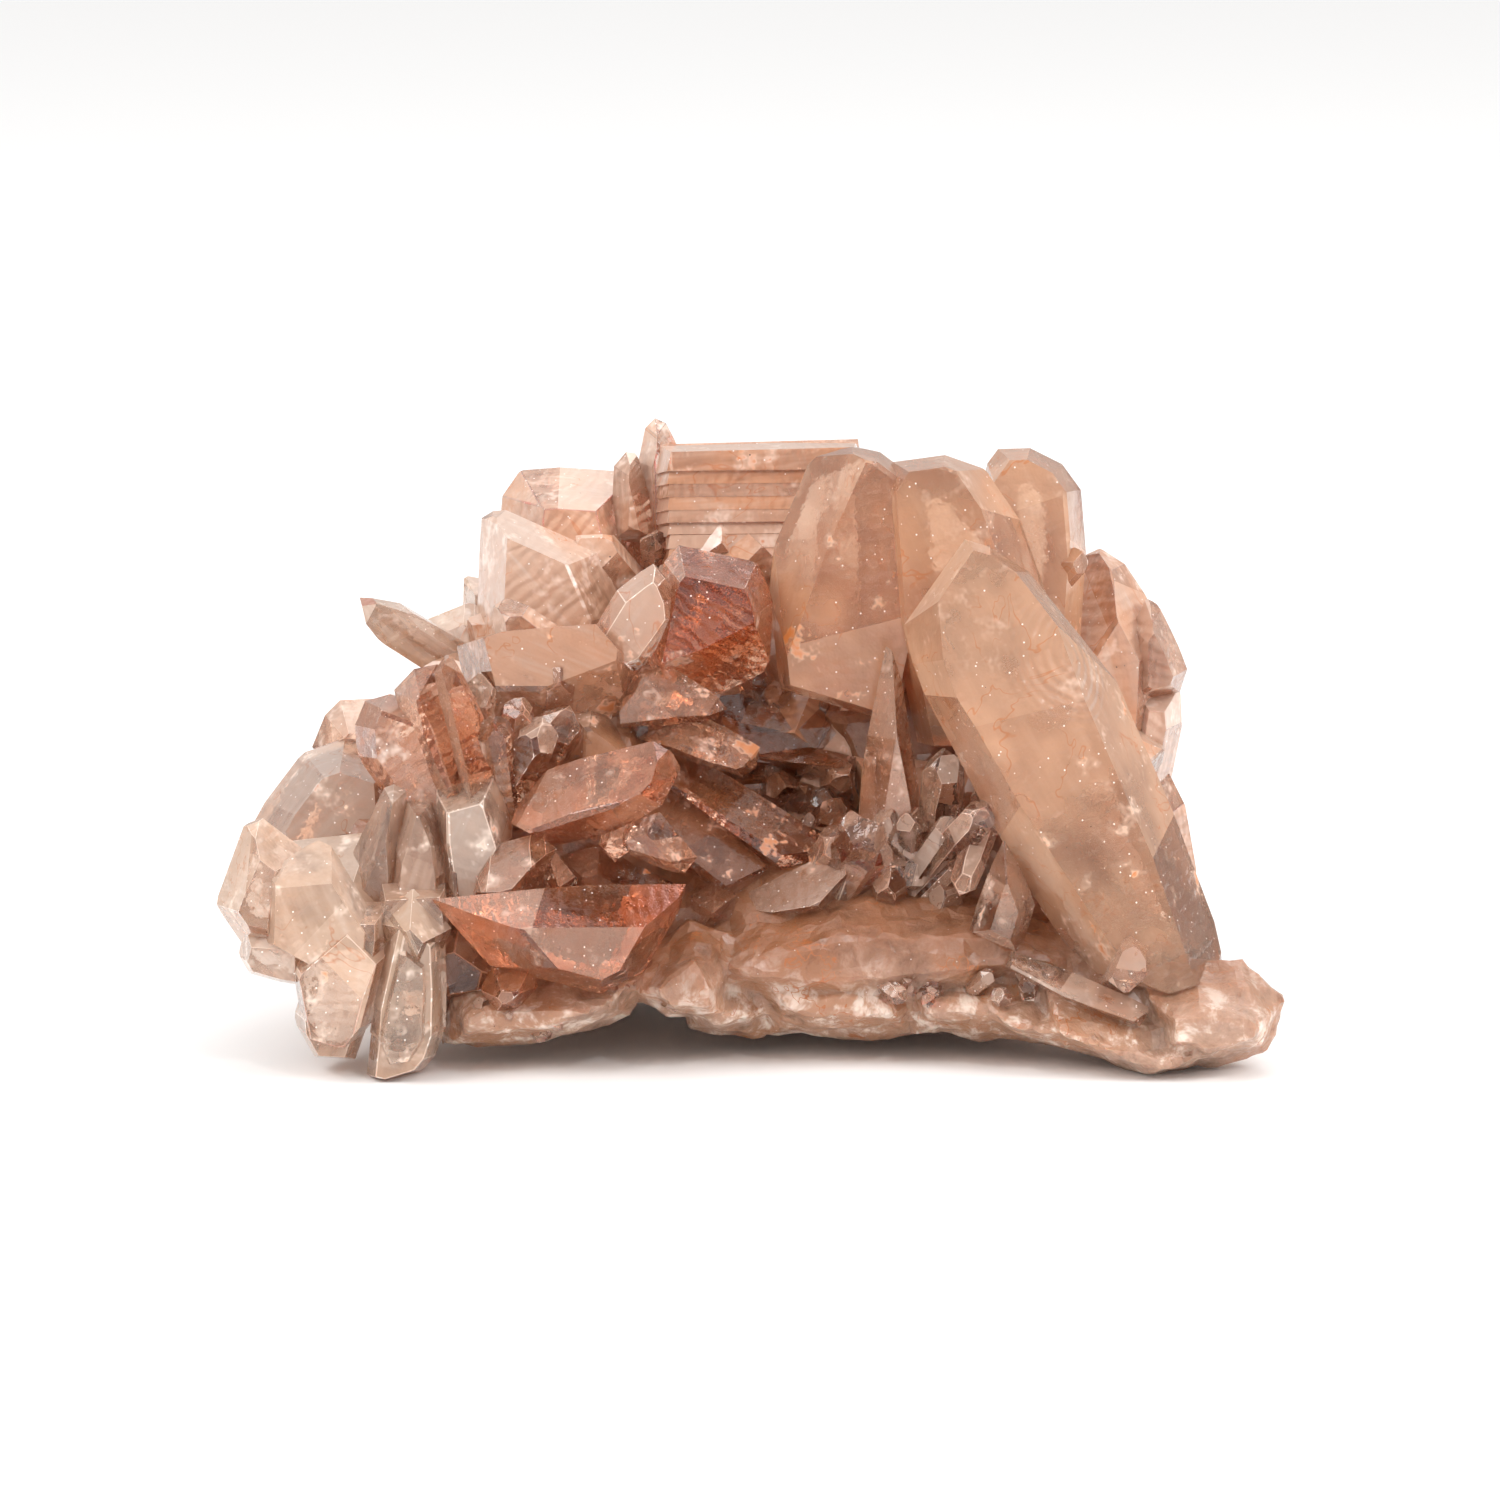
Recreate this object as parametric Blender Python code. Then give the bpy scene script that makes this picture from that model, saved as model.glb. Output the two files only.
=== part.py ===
"""Quartz cluster: intergrown quartz points on a broken crust of milky quartz, as one faceted solid.

Metres, +Z up, +X to the right, +Y to the back. The cluster stands on Z = 0, and the origin is under
the middle of its bounding box. Sizes below are in millimetres. A place is given as it is read in the
front view: across from the middle, up from the foot of the cluster, and back from its front.
seen_at() turns such a place into a point in space.
"""

import math
import random

import bmesh
import bpy
from mathutils import Matrix, Vector

MM = 0.001

# The front view that places are read in: its tilt above level, its distance, and its middle
VIEW_TILT = math.radians(10)
VIEW_DISTANCE = 700.0
VIEW_MIDDLE_BACK = 20.0
VIEW_MIDDLE_UP = 33.2
TO_VIEWER = Vector((0, -math.cos(VIEW_TILT), math.sin(VIEW_TILT)))

# Quartz: six sides under a six-faced pyramid that rises at this angle from the cross-section
SIDES = 6
PYRAMID_ANGLE = math.radians(51.8)
# The side faces of a crystal that lies face on turn this far towards the viewer, in degrees
SIDE_LEAN = 28

# The points over the back: how many, how far round they fan, and their usual widths
REAR_POINTS = 38
REAR_FAN = math.radians(215)
REAR_WIDTHS = (6, 8, 10, 13)
REAR_LOWEST_ROOT = 9.0
REAR_SEED = 5
GOLDEN_RATIO = (1 + math.sqrt(5)) / 2

# The lumps that the cluster stands on are worn flat at this height, in millimetres
FOOT_LEVEL = -0.4

QUARTZ_COLOUR = (0.80, 0.52, 0.40, 1.0)
QUARTZ_ROUGHNESS = 0.15


def seen_at(across, up, back):
    """The point in space, in metres, that shows at this place in the front view, this far back."""
    tilt_cos = math.cos(VIEW_TILT)
    tilt_sin = math.sin(VIEW_TILT)
    middle_z = (VIEW_MIDDLE_UP - VIEW_MIDDLE_BACK * tilt_sin) / tilt_cos
    eye_y = VIEW_MIDDLE_BACK - VIEW_DISTANCE * tilt_cos
    eye_z = middle_z + VIEW_DISTANCE * tilt_sin
    rise = up - VIEW_MIDDLE_UP
    share = (back - eye_y) / (VIEW_DISTANCE * tilt_cos + rise * tilt_sin)
    z = eye_z + share * (rise * tilt_cos - VIEW_DISTANCE * tilt_sin)
    return Vector((share * across, back, z)) * MM


def new_object(name, bm, collection, placed=None):
    mesh = bpy.data.meshes.new(name)
    bm.to_mesh(mesh)
    bm.free()
    obj = bpy.data.objects.new(name, mesh)
    obj.matrix_world = placed or Matrix.Identity(4)
    obj.hide_render = True
    obj.display_type = "WIRE"
    collection.objects.link(obj)
    return obj


def cut_flat(bm, point, normal):
    """Cuts off what lies past a plane and closes the cut with one flat face."""
    everything = bm.verts[:] + bm.edges[:] + bm.faces[:]
    bmesh.ops.bisect_plane(
        bm, geom=everything, dist=1e-7, plane_co=point, plane_no=normal, clear_outer=True
    )
    open_edges = [edge for edge in bm.edges if edge.is_boundary]
    bmesh.ops.holes_fill(bm, edges=open_edges, sides=0)


def crystal_axes(tip, root, turn):
    """Axes of a crystal along root to tip, with one side face to the viewer but for the turn."""
    along = (tip - root).normalized()
    facing = TO_VIEWER - along * TO_VIEWER.dot(along)
    if facing.length < 0.2:
        facing = Vector((0, 0, 1)) - along * along.z
    facing.normalize()
    facing.rotate(Matrix.Rotation(math.radians(turn), 3, along))
    return Matrix((facing, along.cross(facing), along)).transposed().to_4x4()


def crystal(grown, tip, root, width, depth=None, turn=0.0, taper=0.93):
    """A quartz point from root to tip: a six-sided prism under six pyramid faces that meet unevenly."""
    depth = depth or width * 0.85
    length = (tip - root).length
    chance = random.Random(len(grown.objects) * 31 + 7)
    bm = bmesh.new()
    bmesh.ops.create_cone(
        bm, segments=SIDES, radius1=1.0, radius2=taper, depth=length, cap_ends=True
    )
    flat_to_flat = 2 * math.cos(math.pi / SIDES)
    scale = Vector((depth * MM / flat_to_flat, width * MM / 2, 1.0))
    bmesh.ops.scale(bm, vec=scale, verts=bm.verts)
    bmesh.ops.translate(bm, vec=(0, 0, length / 2), verts=bm.verts)
    # Every other pyramid face is the larger one, and the smaller ones start further out
    larger = chance.randrange(2)
    for face in range(SIDES):
        turned = face * math.tau / SIDES
        lift = chance.uniform(0.0, 0.1) if face % 2 == larger else chance.uniform(0.12, 0.32)
        normal = Vector((math.cos(turned), math.sin(turned), 0)) * math.sin(PYRAMID_ANGLE)
        normal.z = math.cos(PYRAMID_ANGLE)
        cut_flat(bm, Vector((0, 0, length + lift * width * MM)), normal)
    bmesh.ops.recalc_face_normals(bm, faces=bm.faces)
    placed = Matrix.Translation(root) @ crystal_axes(tip, root, turn)
    return new_object(f"point_{len(grown.objects):03d}", bm, grown, placed)


def outlined(grown, outline, back, depth, lean=SIDE_LEAN, behind=None, slant=(0, 0), facets=()):
    """A crystal cut to an outline that is read in the front view, this far back and this deep.

    Each side of the outline leans towards the viewer by its angle lean, and behind the widest
    section it leans away, by the same angle or by behind. slant is how much further back the
    crystal lies for each millimetre across and up. Each of the facets is a cut through two places
    on the front face, which takes off what is left of the line between them, at its own lean.
    """
    middle_across = sum(place[0] for place in outline) / len(outline)
    middle_up = sum(place[1] for place in outline) / len(outline)

    def at(place, forward=0.0):
        further = slant[0] * (place[0] - middle_across) + slant[1] * (place[1] - middle_up)
        return seen_at(place[0], place[1], back + further - forward)

    centre = at((middle_across, middle_up))
    right = (at((middle_across + 1, middle_up)) - centre).normalized()
    upright = (at((middle_across, middle_up + 1)) - centre).normalized()
    facing = right.cross(upright).normalized()
    leans = lean if isinstance(lean, (list, tuple)) else [lean] * len(outline)

    bm = bmesh.new()
    bmesh.ops.create_cube(bm, size=0.3)
    bmesh.ops.translate(bm, vec=centre, verts=bm.verts)
    for index, start in enumerate(outline):
        start = at(start)
        end = at(outline[(index + 1) % len(outline)])
        outward = (end - start).cross(facing).normalized()
        if outward.dot(start - centre) < 0:
            outward.negate()
        tilt = math.radians(leans[index])
        cut_flat(bm, start, outward * math.cos(tilt) + facing * math.sin(tilt))
        tilt = tilt if behind is None else math.radians(behind)
        cut_flat(bm, start, outward * math.cos(tilt) - facing * math.sin(tilt))
    cut_flat(bm, centre + facing * depth * MM / 2, facing)
    cut_flat(bm, centre - facing * depth * MM / 2, -facing)
    for first, second, tilt in facets:
        first = at(first, depth / 2)
        second = at(second, depth / 2)
        outward = facing.cross(second - first).normalized()
        tilt = math.radians(tilt)
        cut_flat(bm, first, outward * math.cos(tilt) + facing * math.sin(tilt))
    bmesh.ops.recalc_face_normals(bm, faces=bm.faces)
    return new_object(f"outlined_{len(grown.objects):03d}", bm, grown)


def lump(grown, centre, size, seed, cuts=16, reach=(0.74, 0.94)):
    """A broken lump of milky quartz: a ball, cut flat all round. centre is X, Y, Z in space."""
    chance = random.Random(seed)
    bm = bmesh.new()
    bmesh.ops.create_icosphere(bm, subdivisions=1, radius=1.15)
    for _ in range(cuts):
        normal = Vector([chance.gauss(0, 1) for _ in range(3)]).normalized()
        cut_flat(bm, normal * chance.uniform(*reach), normal)
    bmesh.ops.scale(bm, vec=Vector(size) * MM / 2, verts=bm.verts)
    bmesh.ops.recalc_face_normals(bm, faces=bm.faces)
    return new_object(f"lump_{seed:03d}", bm, grown, Matrix.Translation(Vector(centre) * MM))


def crust(grown):
    """The broken crust of milky quartz that the points grow from, with a bay at the front."""
    lump(grown, (-25, 30, 15), (44, 34, 24), 1)
    lump(grown, (-18, 35, 24), (32, 28, 28), 2)
    lump(grown, (25, 33, 14), (38, 34, 22), 3)
    lump(grown, (20, 40, 26), (28, 22, 32), 4)
    lump(grown, (0, 33, 12), (56, 36, 18), 5)
    lump(grown, (-2, 46, 26), (48, 18, 38), 6)
    lump(grown, (31, 24, 9), (28, 28, 12), 7)
    lump(grown, (0, 44, 12), (66, 26, 18), 8)
    # What it stands on at the back
    lump(grown, (-20, 47, 8.0), (24, 22, 20), 9, cuts=20)
    lump(grown, (21, 46, 8.0), (24, 22, 20), 10, cuts=20)


def left_foot(grown):
    """The white twin crystal at the front left, and the glassy lumps under it."""
    outlined(
        grown,
        [(-48.3, 21.1), (-43.1, 24.8), (-41.9, 23.6), (-36.9, 16.1), (-37.3, 10.9), (-41.9, 10.2),
         (-48.6, 14)],
        10, 10, lean=15, behind=30, facets=[((-39.7, 20), (-48, 19), 48)],
    )
    outlined(
        grown,
        [(-53.5, 17.8), (-50.5, 26), (-49, 26.6), (-44, 22.8), (-46, 13), (-50.9, 14)],
        13, 11, lean=24,
    )
    outlined(
        grown, [(-51.2, 12.6), (-50.2, 10.9), (-47, 10), (-46, 14.5), (-50.5, 14.5)], 12, 8, lean=20
    )
    outlined(
        grown,
        [(-49, 12), (-45.9, 6.4), (-46.2, 4.2), (-45, 2.6), (-38.5, 2.3), (-36, 7), (-37, 12)],
        10, 11, lean=22,
    )
    outlined(
        grown,
        [(-39.3, 1.3), (-36.4, 0.1), (-32.6, 1.6), (-30.7, 4), (-30.4, 9.5), (-36.8, 11.2),
         (-38.7, 6.1)],
        8, 13, lean=20,
    )
    outlined(
        grown,
        [(-37.3, 14.7), (-36.3, 17), (-33.7, 19.4), (-29.8, 15.4), (-31.3, 12), (-33, 8.5),
         (-34.6, 8.5)],
        8, 10, lean=24, facets=[((-33, 12), (-34.5, 15.5), 30)],
    )


def left_shoulder(grown):
    """The milky points and flat spikes that stand behind the left foot, stepping up to the back."""
    outlined(
        grown,
        [(-51, 24.7), (-48.5, 28), (-47, 30.7), (-44.5, 33), (-40.5, 34.3), (-33, 32), (-32, 20),
         (-48, 18)],
        32, 20, lean=24, slant=(0, 0.3),
    )
    outlined(
        grown, [(-44, 33), (-42.5, 36.7), (-41, 38.2), (-36.5, 38.4), (-34, 32)], 38, 10
    )
    outlined(
        grown,
        [(-39.7, 23), (-36.6, 29.4), (-35.6, 29.8), (-34.3, 29.2), (-34, 25), (-36.5, 18.5),
         (-40.3, 20)],
        17, 9, lean=26,
    )
    outlined(
        grown,
        [(-35.8, 24), (-34.4, 28.3), (-31.6, 28.3), (-29.8, 24), (-29.2, 20), (-31, 18),
         (-36.8, 18.6)],
        16, 12, lean=18, slant=(0, 0.2),
    )
    outlined(
        grown,
        [(-31.6, 29.3), (-25.4, 31), (-23.4, 24.7), (-27.5, 22.3), (-29.5, 21.2), (-31.5, 24.5)],
        16, 10, lean=20,
    )
    # Between the white twin and the pale faces over it
    outlined(grown, [(-47, 24), (-38, 25), (-33, 20), (-34, 12), (-46, 13)], 20, 18, lean=24)
    outlined(
        grown,
        [(-36.8, 19.8), (-30.2, 20.2), (-29.6, 15.7), (-31, 14), (-35, 13.5), (-37.2, 17.7)],
        12, 10, lean=20,
    )
    outlined(grown, [(-31, 23.5), (-28, 22.5), (-27.5, 18), (-31, 16.5)], 14, 9, lean=24)
    # Flat spikes against the sky
    outlined(
        grown,
        [(-38.8, 47.6), (-37.8, 48.4), (-35, 47.9), (-31, 45.7), (-24, 41), (-25, 37), (-32, 40.7),
         (-36.5, 43.4), (-38.4, 45.8)],
        37, 8, lean=[0, 8, 8, 8, 0, 30, 38, 38, 20], slant=(0.5, 0),
    )
    outlined(
        grown,
        [(-41.2, 43.9), (-40.4, 44.5), (-37, 43.8), (-30, 39), (-31, 34), (-39.5, 37.6),
         (-40.2, 40.5)],
        41, 9, slant=(0.3, 0),
    )
    outlined(
        grown, [(-29.3, 50), (-28.2, 50.6), (-26, 50.2), (-25, 42), (-29, 42), (-28.8, 48)], 49, 6
    )
    outlined(grown, [(-33, 46), (-28, 48), (-24, 46), (-24, 38), (-31, 40)], 46, 6)


def left_prisms(grown):
    """The dark prisms that stand side by side over the left shoulder, leaning out to the left."""
    outlined(
        grown,
        [(-38.5, 38.1), (-36, 38.8), (-31, 37), (-28, 27), (-33, 26), (-37.1, 29.5), (-39.3, 32.6),
         (-39.5, 35.7)],
        22, 10, lean=[10, 10, 10, 0, 20, 32, 34, 30], slant=(-0.2, 0),
    )
    outlined(
        grown,
        [(-35.6, 39.2), (-33.6, 41.3), (-31.2, 41.8), (-29.5, 39.5), (-25.5, 27), (-31, 26.5),
         (-34, 33)],
        19, 10, slant=(-0.1, 0.1),
    )
    outlined(
        grown,
        [(-31.6, 41), (-30.4, 42.8), (-29.4, 42.4), (-28.3, 40.5), (-24.6, 31.5), (-25, 28),
         (-29, 27)],
        17, 9, lean=[10, 10, 30, 36, 36, 10, 20], slant=(0, 0.1),
    )
    crystal(grown, seen_at(-25.8, 36.5, 15), seen_at(-24.5, 27, 18), 4.2)
    crystal(grown, seen_at(-23.0, 38.5, 17), seen_at(-24.0, 29, 20), 3.6, turn=25)
    crystal(grown, seen_at(-20.5, 36.0, 16), seen_at(-25.5, 27, 20), 5.2, turn=-15)
    crystal(grown, seen_at(-18.0, 37.3, 18), seen_at(-22.0, 31, 22), 5.6, turn=20)
    crystal(grown, seen_at(-27.0, 41.0, 19), seen_at(-25.5, 30, 24), 5.5, turn=-20)
    crystal(grown, seen_at(-19.0, 41.5, 19), seen_at(-20.0, 33, 26), 4.4, turn=10)


def middle_crest(grown):
    """The rough pale crest in the middle, the glassy broken point on it and the brown one beside it."""
    outlined(
        grown,
        [(-29.5, 43.5), (-24.5, 45.2), (-20, 45.5), (-14.5, 46), (-11, 42), (-12, 36), (-20, 33),
         (-27, 33)],
        27, 16, lean=[14, 14, 14, 14, 14, 30, 30, 20], slant=(0, 0.4),
    )
    outlined(
        grown,
        [(-19.5, 38.5), (-15.5, 39.4), (-11.5, 36.5), (-10.2, 32), (-15, 29), (-20, 30)],
        26, 12, lean=[24, 30, 24, 20, 10, 20], slant=(0.2, 0),
    )
    outlined(
        grown,
        [(-9.4, 52), (-11, 51), (-13.3, 49.2), (-16, 44.8), (-16.5, 42), (-11, 41), (-8.2, 44.9),
         (-7.2, 46.4), (-7.4, 48.6), (-8.2, 50.6)],
        25, 6, lean=22,
    )
    outlined(
        grown,
        [(-7.1, 53.7), (0.7, 52), (1.6, 50.2), (2.3, 48), (1.9, 40.3), (-2.6, 38.2), (-9, 38),
         (-11, 44), (-8.6, 52)],
        30, 15, lean=14, behind=34, facets=[((2.4, 47), (-6.5, 42.4), 36)],
    )
    outlined(
        grown,
        [(-13, 39), (-10.8, 41.7), (-8, 41.6), (-3.5, 38.8), (-2.3, 37.3), (-3.7, 36), (-12.7, 35)],
        24, 8, lean=[20, 20, 38, 34, 20, 20, 10], slant=(-0.2, 0),
    )
    outlined(
        grown,
        [(-11, 36), (-6.2, 37.2), (-2.1, 35.4), (1, 33.5), (0.6, 31.4), (-1.2, 30.2), (-4, 31.3),
         (-11, 33)],
        24, 8, lean=[34, 34, 34, 20, 20, 20, 20, 0], slant=(-0.1, 0),
    )


def bay(grown):
    """The dark prisms at the back of the bay, the slanting ones along its floor."""
    outlined(
        grown,
        [(-3, 38.6), (7.9, 39.8), (10.5, 37.3), (13, 35), (13, 31), (0, 32), (-4, 35)],
        38, 10, lean=[34, 30, 20, 10, 10, 10, 10], slant=(0.1, 0),
    )
    outlined(
        grown, [(0.5, 34.5), (10.7, 32.6), (10.6, 31), (7.9, 30.6), (0.5, 31.8)], 33, 5, lean=26,
        slant=(-0.3, 0),
    )
    outlined(grown, [(-3, 32), (4, 32.5), (12, 31), (11, 27.5), (5, 26), (-2, 27)], 37, 10, lean=20)
    crystal(grown, seen_at(9.8, 26.8, 26), seen_at(6.5, 24, 34), 5.5)
    crystal(grown, seen_at(3.5, 26.5, 30), seen_at(0.0, 22, 38), 6.0, turn=20)
    # Long slanting prisms
    outlined(
        grown,
        [(-8.5, 33.8), (-6, 33), (8.5, 24), (6.5, 21.5), (3.5, 20.5), (-9.5, 29.5)],
        24, 9, lean=[10, 30, 34, 20, 24, 24], slant=(-0.25, 0),
    )
    outlined(
        grown,
        [(-11.5, 27), (-8, 29.4), (2.0, 21.8), (-0.5, 18.2), (-3, 18.6), (-11, 24)],
        22, 9, lean=[10, 34, 20, 20, 28, 10], slant=(-0.35, 0),
    )
    outlined(grown, [(-6.3, 18.5), (-3.4, 20.4), (-1.3, 18.7), (-1.8, 16.2), (-5, 15)], 17, 10)
    outlined(
        grown, [(-21, 26), (-16, 27), (-5, 19.5), (-6, 15), (-14, 17), (-20, 21)], 24, 10,
        lean=[20, 34, 20, 10, 24, 24], slant=(-0.2, 0),
    )
    outlined(
        grown, [(-19, 22.5), (-15, 23.8), (-7.5, 19.8), (-8, 17), (-18, 18)], 17, 8, lean=28,
    )


def lying_points(grown):
    """The points that lie across the front left, over the foot of the bay."""
    outlined(
        grown,
        [(-23.3, 27.6), (-20, 31.6), (-9.7, 34.1), (-8.2, 33.2), (-7.3, 30.6), (-8.8, 27.7),
         (-12.6, 25.4), (-19.5, 23.3), (-23.5, 25.6)],
        13, 11, lean=[24, 40, 20, 14, 14, 20, 24, 20, 10], slant=(-0.35, 0),
    )
    outlined(
        grown, [(-27.9, 20.5), (-25.7, 23.8), (-21.3, 24.9), (-19.3, 23.3), (-21.2, 19.2), (-27.8, 19)],
        12, 10, lean=[20, 38, 28, 28, 10, 10],
    )
    outlined(grown, [(-21, 22.5), (-19.8, 23.8), (-17.2, 20.7), (-17.3, 18.6), (-21, 18.4)], 14, 9)
    crystal(grown, seen_at(-13.6, 22.3, 12), seen_at(-12.5, 30, 20), 3.6)
    outlined(
        grown,
        [(-13.5, 25.5), (-9, 27), (-5.3, 22.5), (-6.5, 20.9), (-8, 21), (-14, 23.5)],
        15, 6, lean=26, slant=(-0.3, 0),
    )
    outlined(
        grown,
        [(-31.9, 18.3), (-28.8, 19.6), (-6.4, 19.8), (-7.1, 17.1), (-10.6, 11), (-15, 8.8),
         (-26.1, 11.6)],
        8, 11, lean=[30, 30, 20, 30, 24, 24, 40], slant=(0.1, 0),
    )
    outlined(
        grown, [(-33, 15), (-29, 16), (-24, 12.5), (-25, 8), (-32, 7.5)], 14, 9, lean=24
    )
    outlined(
        grown,
        [(-27, 9.2), (-25.7, 11.7), (-22, 11.4), (-21.2, 9.5), (-23, 7.3), (-25.4, 7)],
        7, 9, lean=20,
    )


def front_rim(grown):
    """The milky rim along the front, from under the lying points to the right foot."""
    outlined(
        grown,
        [(-31, 3.6), (-31, 10), (-27, 12), (-10, 12), (-12, 6.8), (-15, 5.3), (-22, 3.7)],
        14, 16, lean=24,
    )
    outlined(
        grown,
        [(-14, 7.4), (-11.5, 12.5), (-6, 16.5), (-2, 15), (-1, 6.5), (-5.5, 5.2), (-8.5, 6.8)],
        14, 16, lean=20,
    )
    outlined(
        grown,
        [(-3, 17.4), (8, 21), (19, 20.5), (30, 16.5), (35, 11), (29, 7.5), (18, 6.4), (5, 6.6),
         (-4, 8), (-6, 12)],
        19, 18, lean=[40, 40, 30, 24, 10, 20, 14, 14, 20, 20], slant=(0, 0.35),
    )
    outlined(
        grown, [(2, 14), (14, 14), (19, 8), (16, 4.6), (9, 4.3), (2, 5), (-2, 9)], 18, 15,
        lean=[40, 34, 20, 14, 14, 20, 24], slant=(0, 0.3),
    )
    outlined(
        grown, [(14, 12), (26, 14), (33, 9), (30, 4.8), (23, 4.2), (16, 5)], 17, 15,
        lean=[40, 34, 20, 14, 14, 20], slant=(0, 0.3),
    )
    outlined(grown, [(-7, 11), (0, 12), (4, 8), (1, 4.8), (-3, 4.4), (-6.5, 5.6)], 18, 13, lean=24)
    # A prism that lies along the top of the rim
    outlined(
        grown,
        [(-2, 18.6), (4, 21.3), (9.9, 24.3), (18.7, 27.5), (19.2, 24.7), (15.5, 19), (8, 16.5),
         (1, 16)],
        19, 10, lean=[30, 34, 34, 20, 24, 24, 24, 24],
    )
    outlined(grown, [(26, 17), (32, 16), (37, 10), (33, 7), (27, 9)], 17, 12, lean=24)
    crystal(grown, seen_at(19.6, 33.0, 17), seen_at(18.5, 20, 24), 5.0, turn=15)
    crystal(grown, seen_at(24.0, 27.5, 13), seen_at(17.0, 20, 20), 4.2, turn=30)
    crystal(grown, seen_at(21.0, 18.8, 11), seen_at(23.5, 26, 18), 3.2)
    outlined(
        grown,
        [(25.4, 24.3), (23.6, 20.5), (21.8, 15), (27, 12.5), (28.5, 17.7), (27.3, 21)],
        11, 7, lean=26,
    )


def right_foot(grown):
    """The milky end lump on the right, with a small prism that lies along it."""
    outlined(
        grown, [(37.5, 11.5), (42, 12.4), (49.3, 12.4), (53.5, 8.5), (51.8, 3.2), (45.5, 1.4),
                (40.5, 3)],
        11, 15, lean=[30, 30, 24, 20, 24, 24, 20],
    )
    outlined(
        grown, [(29, 12), (40, 9.5), (46, 8), (48, 3.5), (44, 1.2), (40.9, 0.5), (36.7, 1.3), (29, 4.3)],
        12, 15, lean=[36, 36, 24, 20, 20, 16, 20, 16],
    )
    outlined(
        grown, [(23, 13.5), (34, 11), (39, 7), (37, 2.6), (31.2, 3.4), (25.5, 4.6), (21, 8)],
        15, 15, lean=[36, 30, 24, 16, 20, 16, 24],
    )
    outlined(
        grown,
        [(26.2, 13.3), (37.5, 8.9), (40.1, 7.5), (38.9, 5.4), (31.2, 8.3), (25.5, 11.5)],
        8, 8, lean=[34, 30, 24, 20, 20, 20], slant=(-0.15, 0),
    )
    outlined(
        grown,
        [(35.3, 10.5), (36.8, 13.9), (38.2, 14.6), (39.8, 13.6), (39.9, 11), (37.5, 8.8)],
        6.0, 6, lean=24,
    )


def great_point(grown):
    """The largest point, broad and flat, which leans to the left in front of the standing row."""
    outlined(
        grown,
        [(21.5, 54.3), (24, 53.5), (27.9, 51), (36.7, 40), (47, 16.1), (47.2, 11), (39, 8.6),
         (33.3, 11), (17.2, 35.8), (15.5, 41.7), (15.4, 45.7)],
        17, 15, lean=[10, 10, 14, 30, 20, 0, 10, 24, 26, 26, 10], behind=32, slant=(0.05, 0.16),
    )


def standing_row(grown):
    """Three broad points side by side, their flat faces to the front, and a slender one before them."""
    outlined(
        grown,
        [(5.5, 62.2), (10.2, 63.6), (13, 63), (15, 61.5), (16, 45), (14, 36), (3, 39.3), (1.9, 49),
         (2.4, 53.8)],
        33, 13, lean=[8, 8, 8, 0, 0, 10, 10, 20, 38], behind=36, slant=(0, 0.1),
    )
    outlined(
        grown,
        [(14.3, 62), (19.5, 62.7), (23.5, 61.3), (27, 56.2), (31, 45), (27, 34), (15, 34),
         (14.2, 44.2), (11.1, 57.2)],
        31, 13, lean=[8, 10, 24, 30, 28, 0, 10, 14, 12], behind=36, slant=(0.05, 0.1),
    )
    outlined(
        grown,
        [(23.4, 61.4), (24.8, 63.3), (28, 63.4), (31.2, 61.8), (33.1, 59.2), (33.6, 53), (33, 44),
         (22, 44)],
        40, 12, lean=[10, 10, 14, 18, 22, 24, 0, 0], behind=34, slant=(0.1, 0.1),
    )
    crystal(grown, seen_at(33.3, 53.0, 34), seen_at(28.0, 47.5, 38), 3.4)
    outlined(
        grown,
        [(15.2, 44.9), (13.3, 43.6), (12.5, 39.4), (10.1, 24.2), (12.5, 22), (17, 22), (20, 31),
         (17.6, 36), (15.6, 41.2)],
        22, 8, lean=[10, 26, 30, 34, 10, 10, 20, 20, 20], slant=(0.1, 0),
    )


def right_rear(grown):
    """The reddish point and the small white ones that show behind the great point."""
    outlined(
        grown,
        [(33.3, 52.6), (35, 53.4), (37.5, 51.8), (39.5, 48.8), (42, 44), (41, 26), (28, 34),
         (29.5, 46.5)],
        47, 16, lean=[10, 14, 20, 24, 24, 10, 10, 34], behind=36,
    )
    outlined(
        grown,
        [(39.6, 48.4), (41.4, 47.5), (42.6, 44.3), (43.9, 41.8), (43, 39), (38, 38), (38, 45)],
        43, 9, lean=20,
    )
    outlined(
        grown, [(38, 40), (43, 39.6), (43.3, 36), (41.9, 29), (36, 28)], 45, 10, lean=22
    )
    outlined(grown, [(38, 34), (41.5, 32), (43.5, 28), (44.8, 20.5), (38, 12), (34, 24)], 44, 14)


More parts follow.
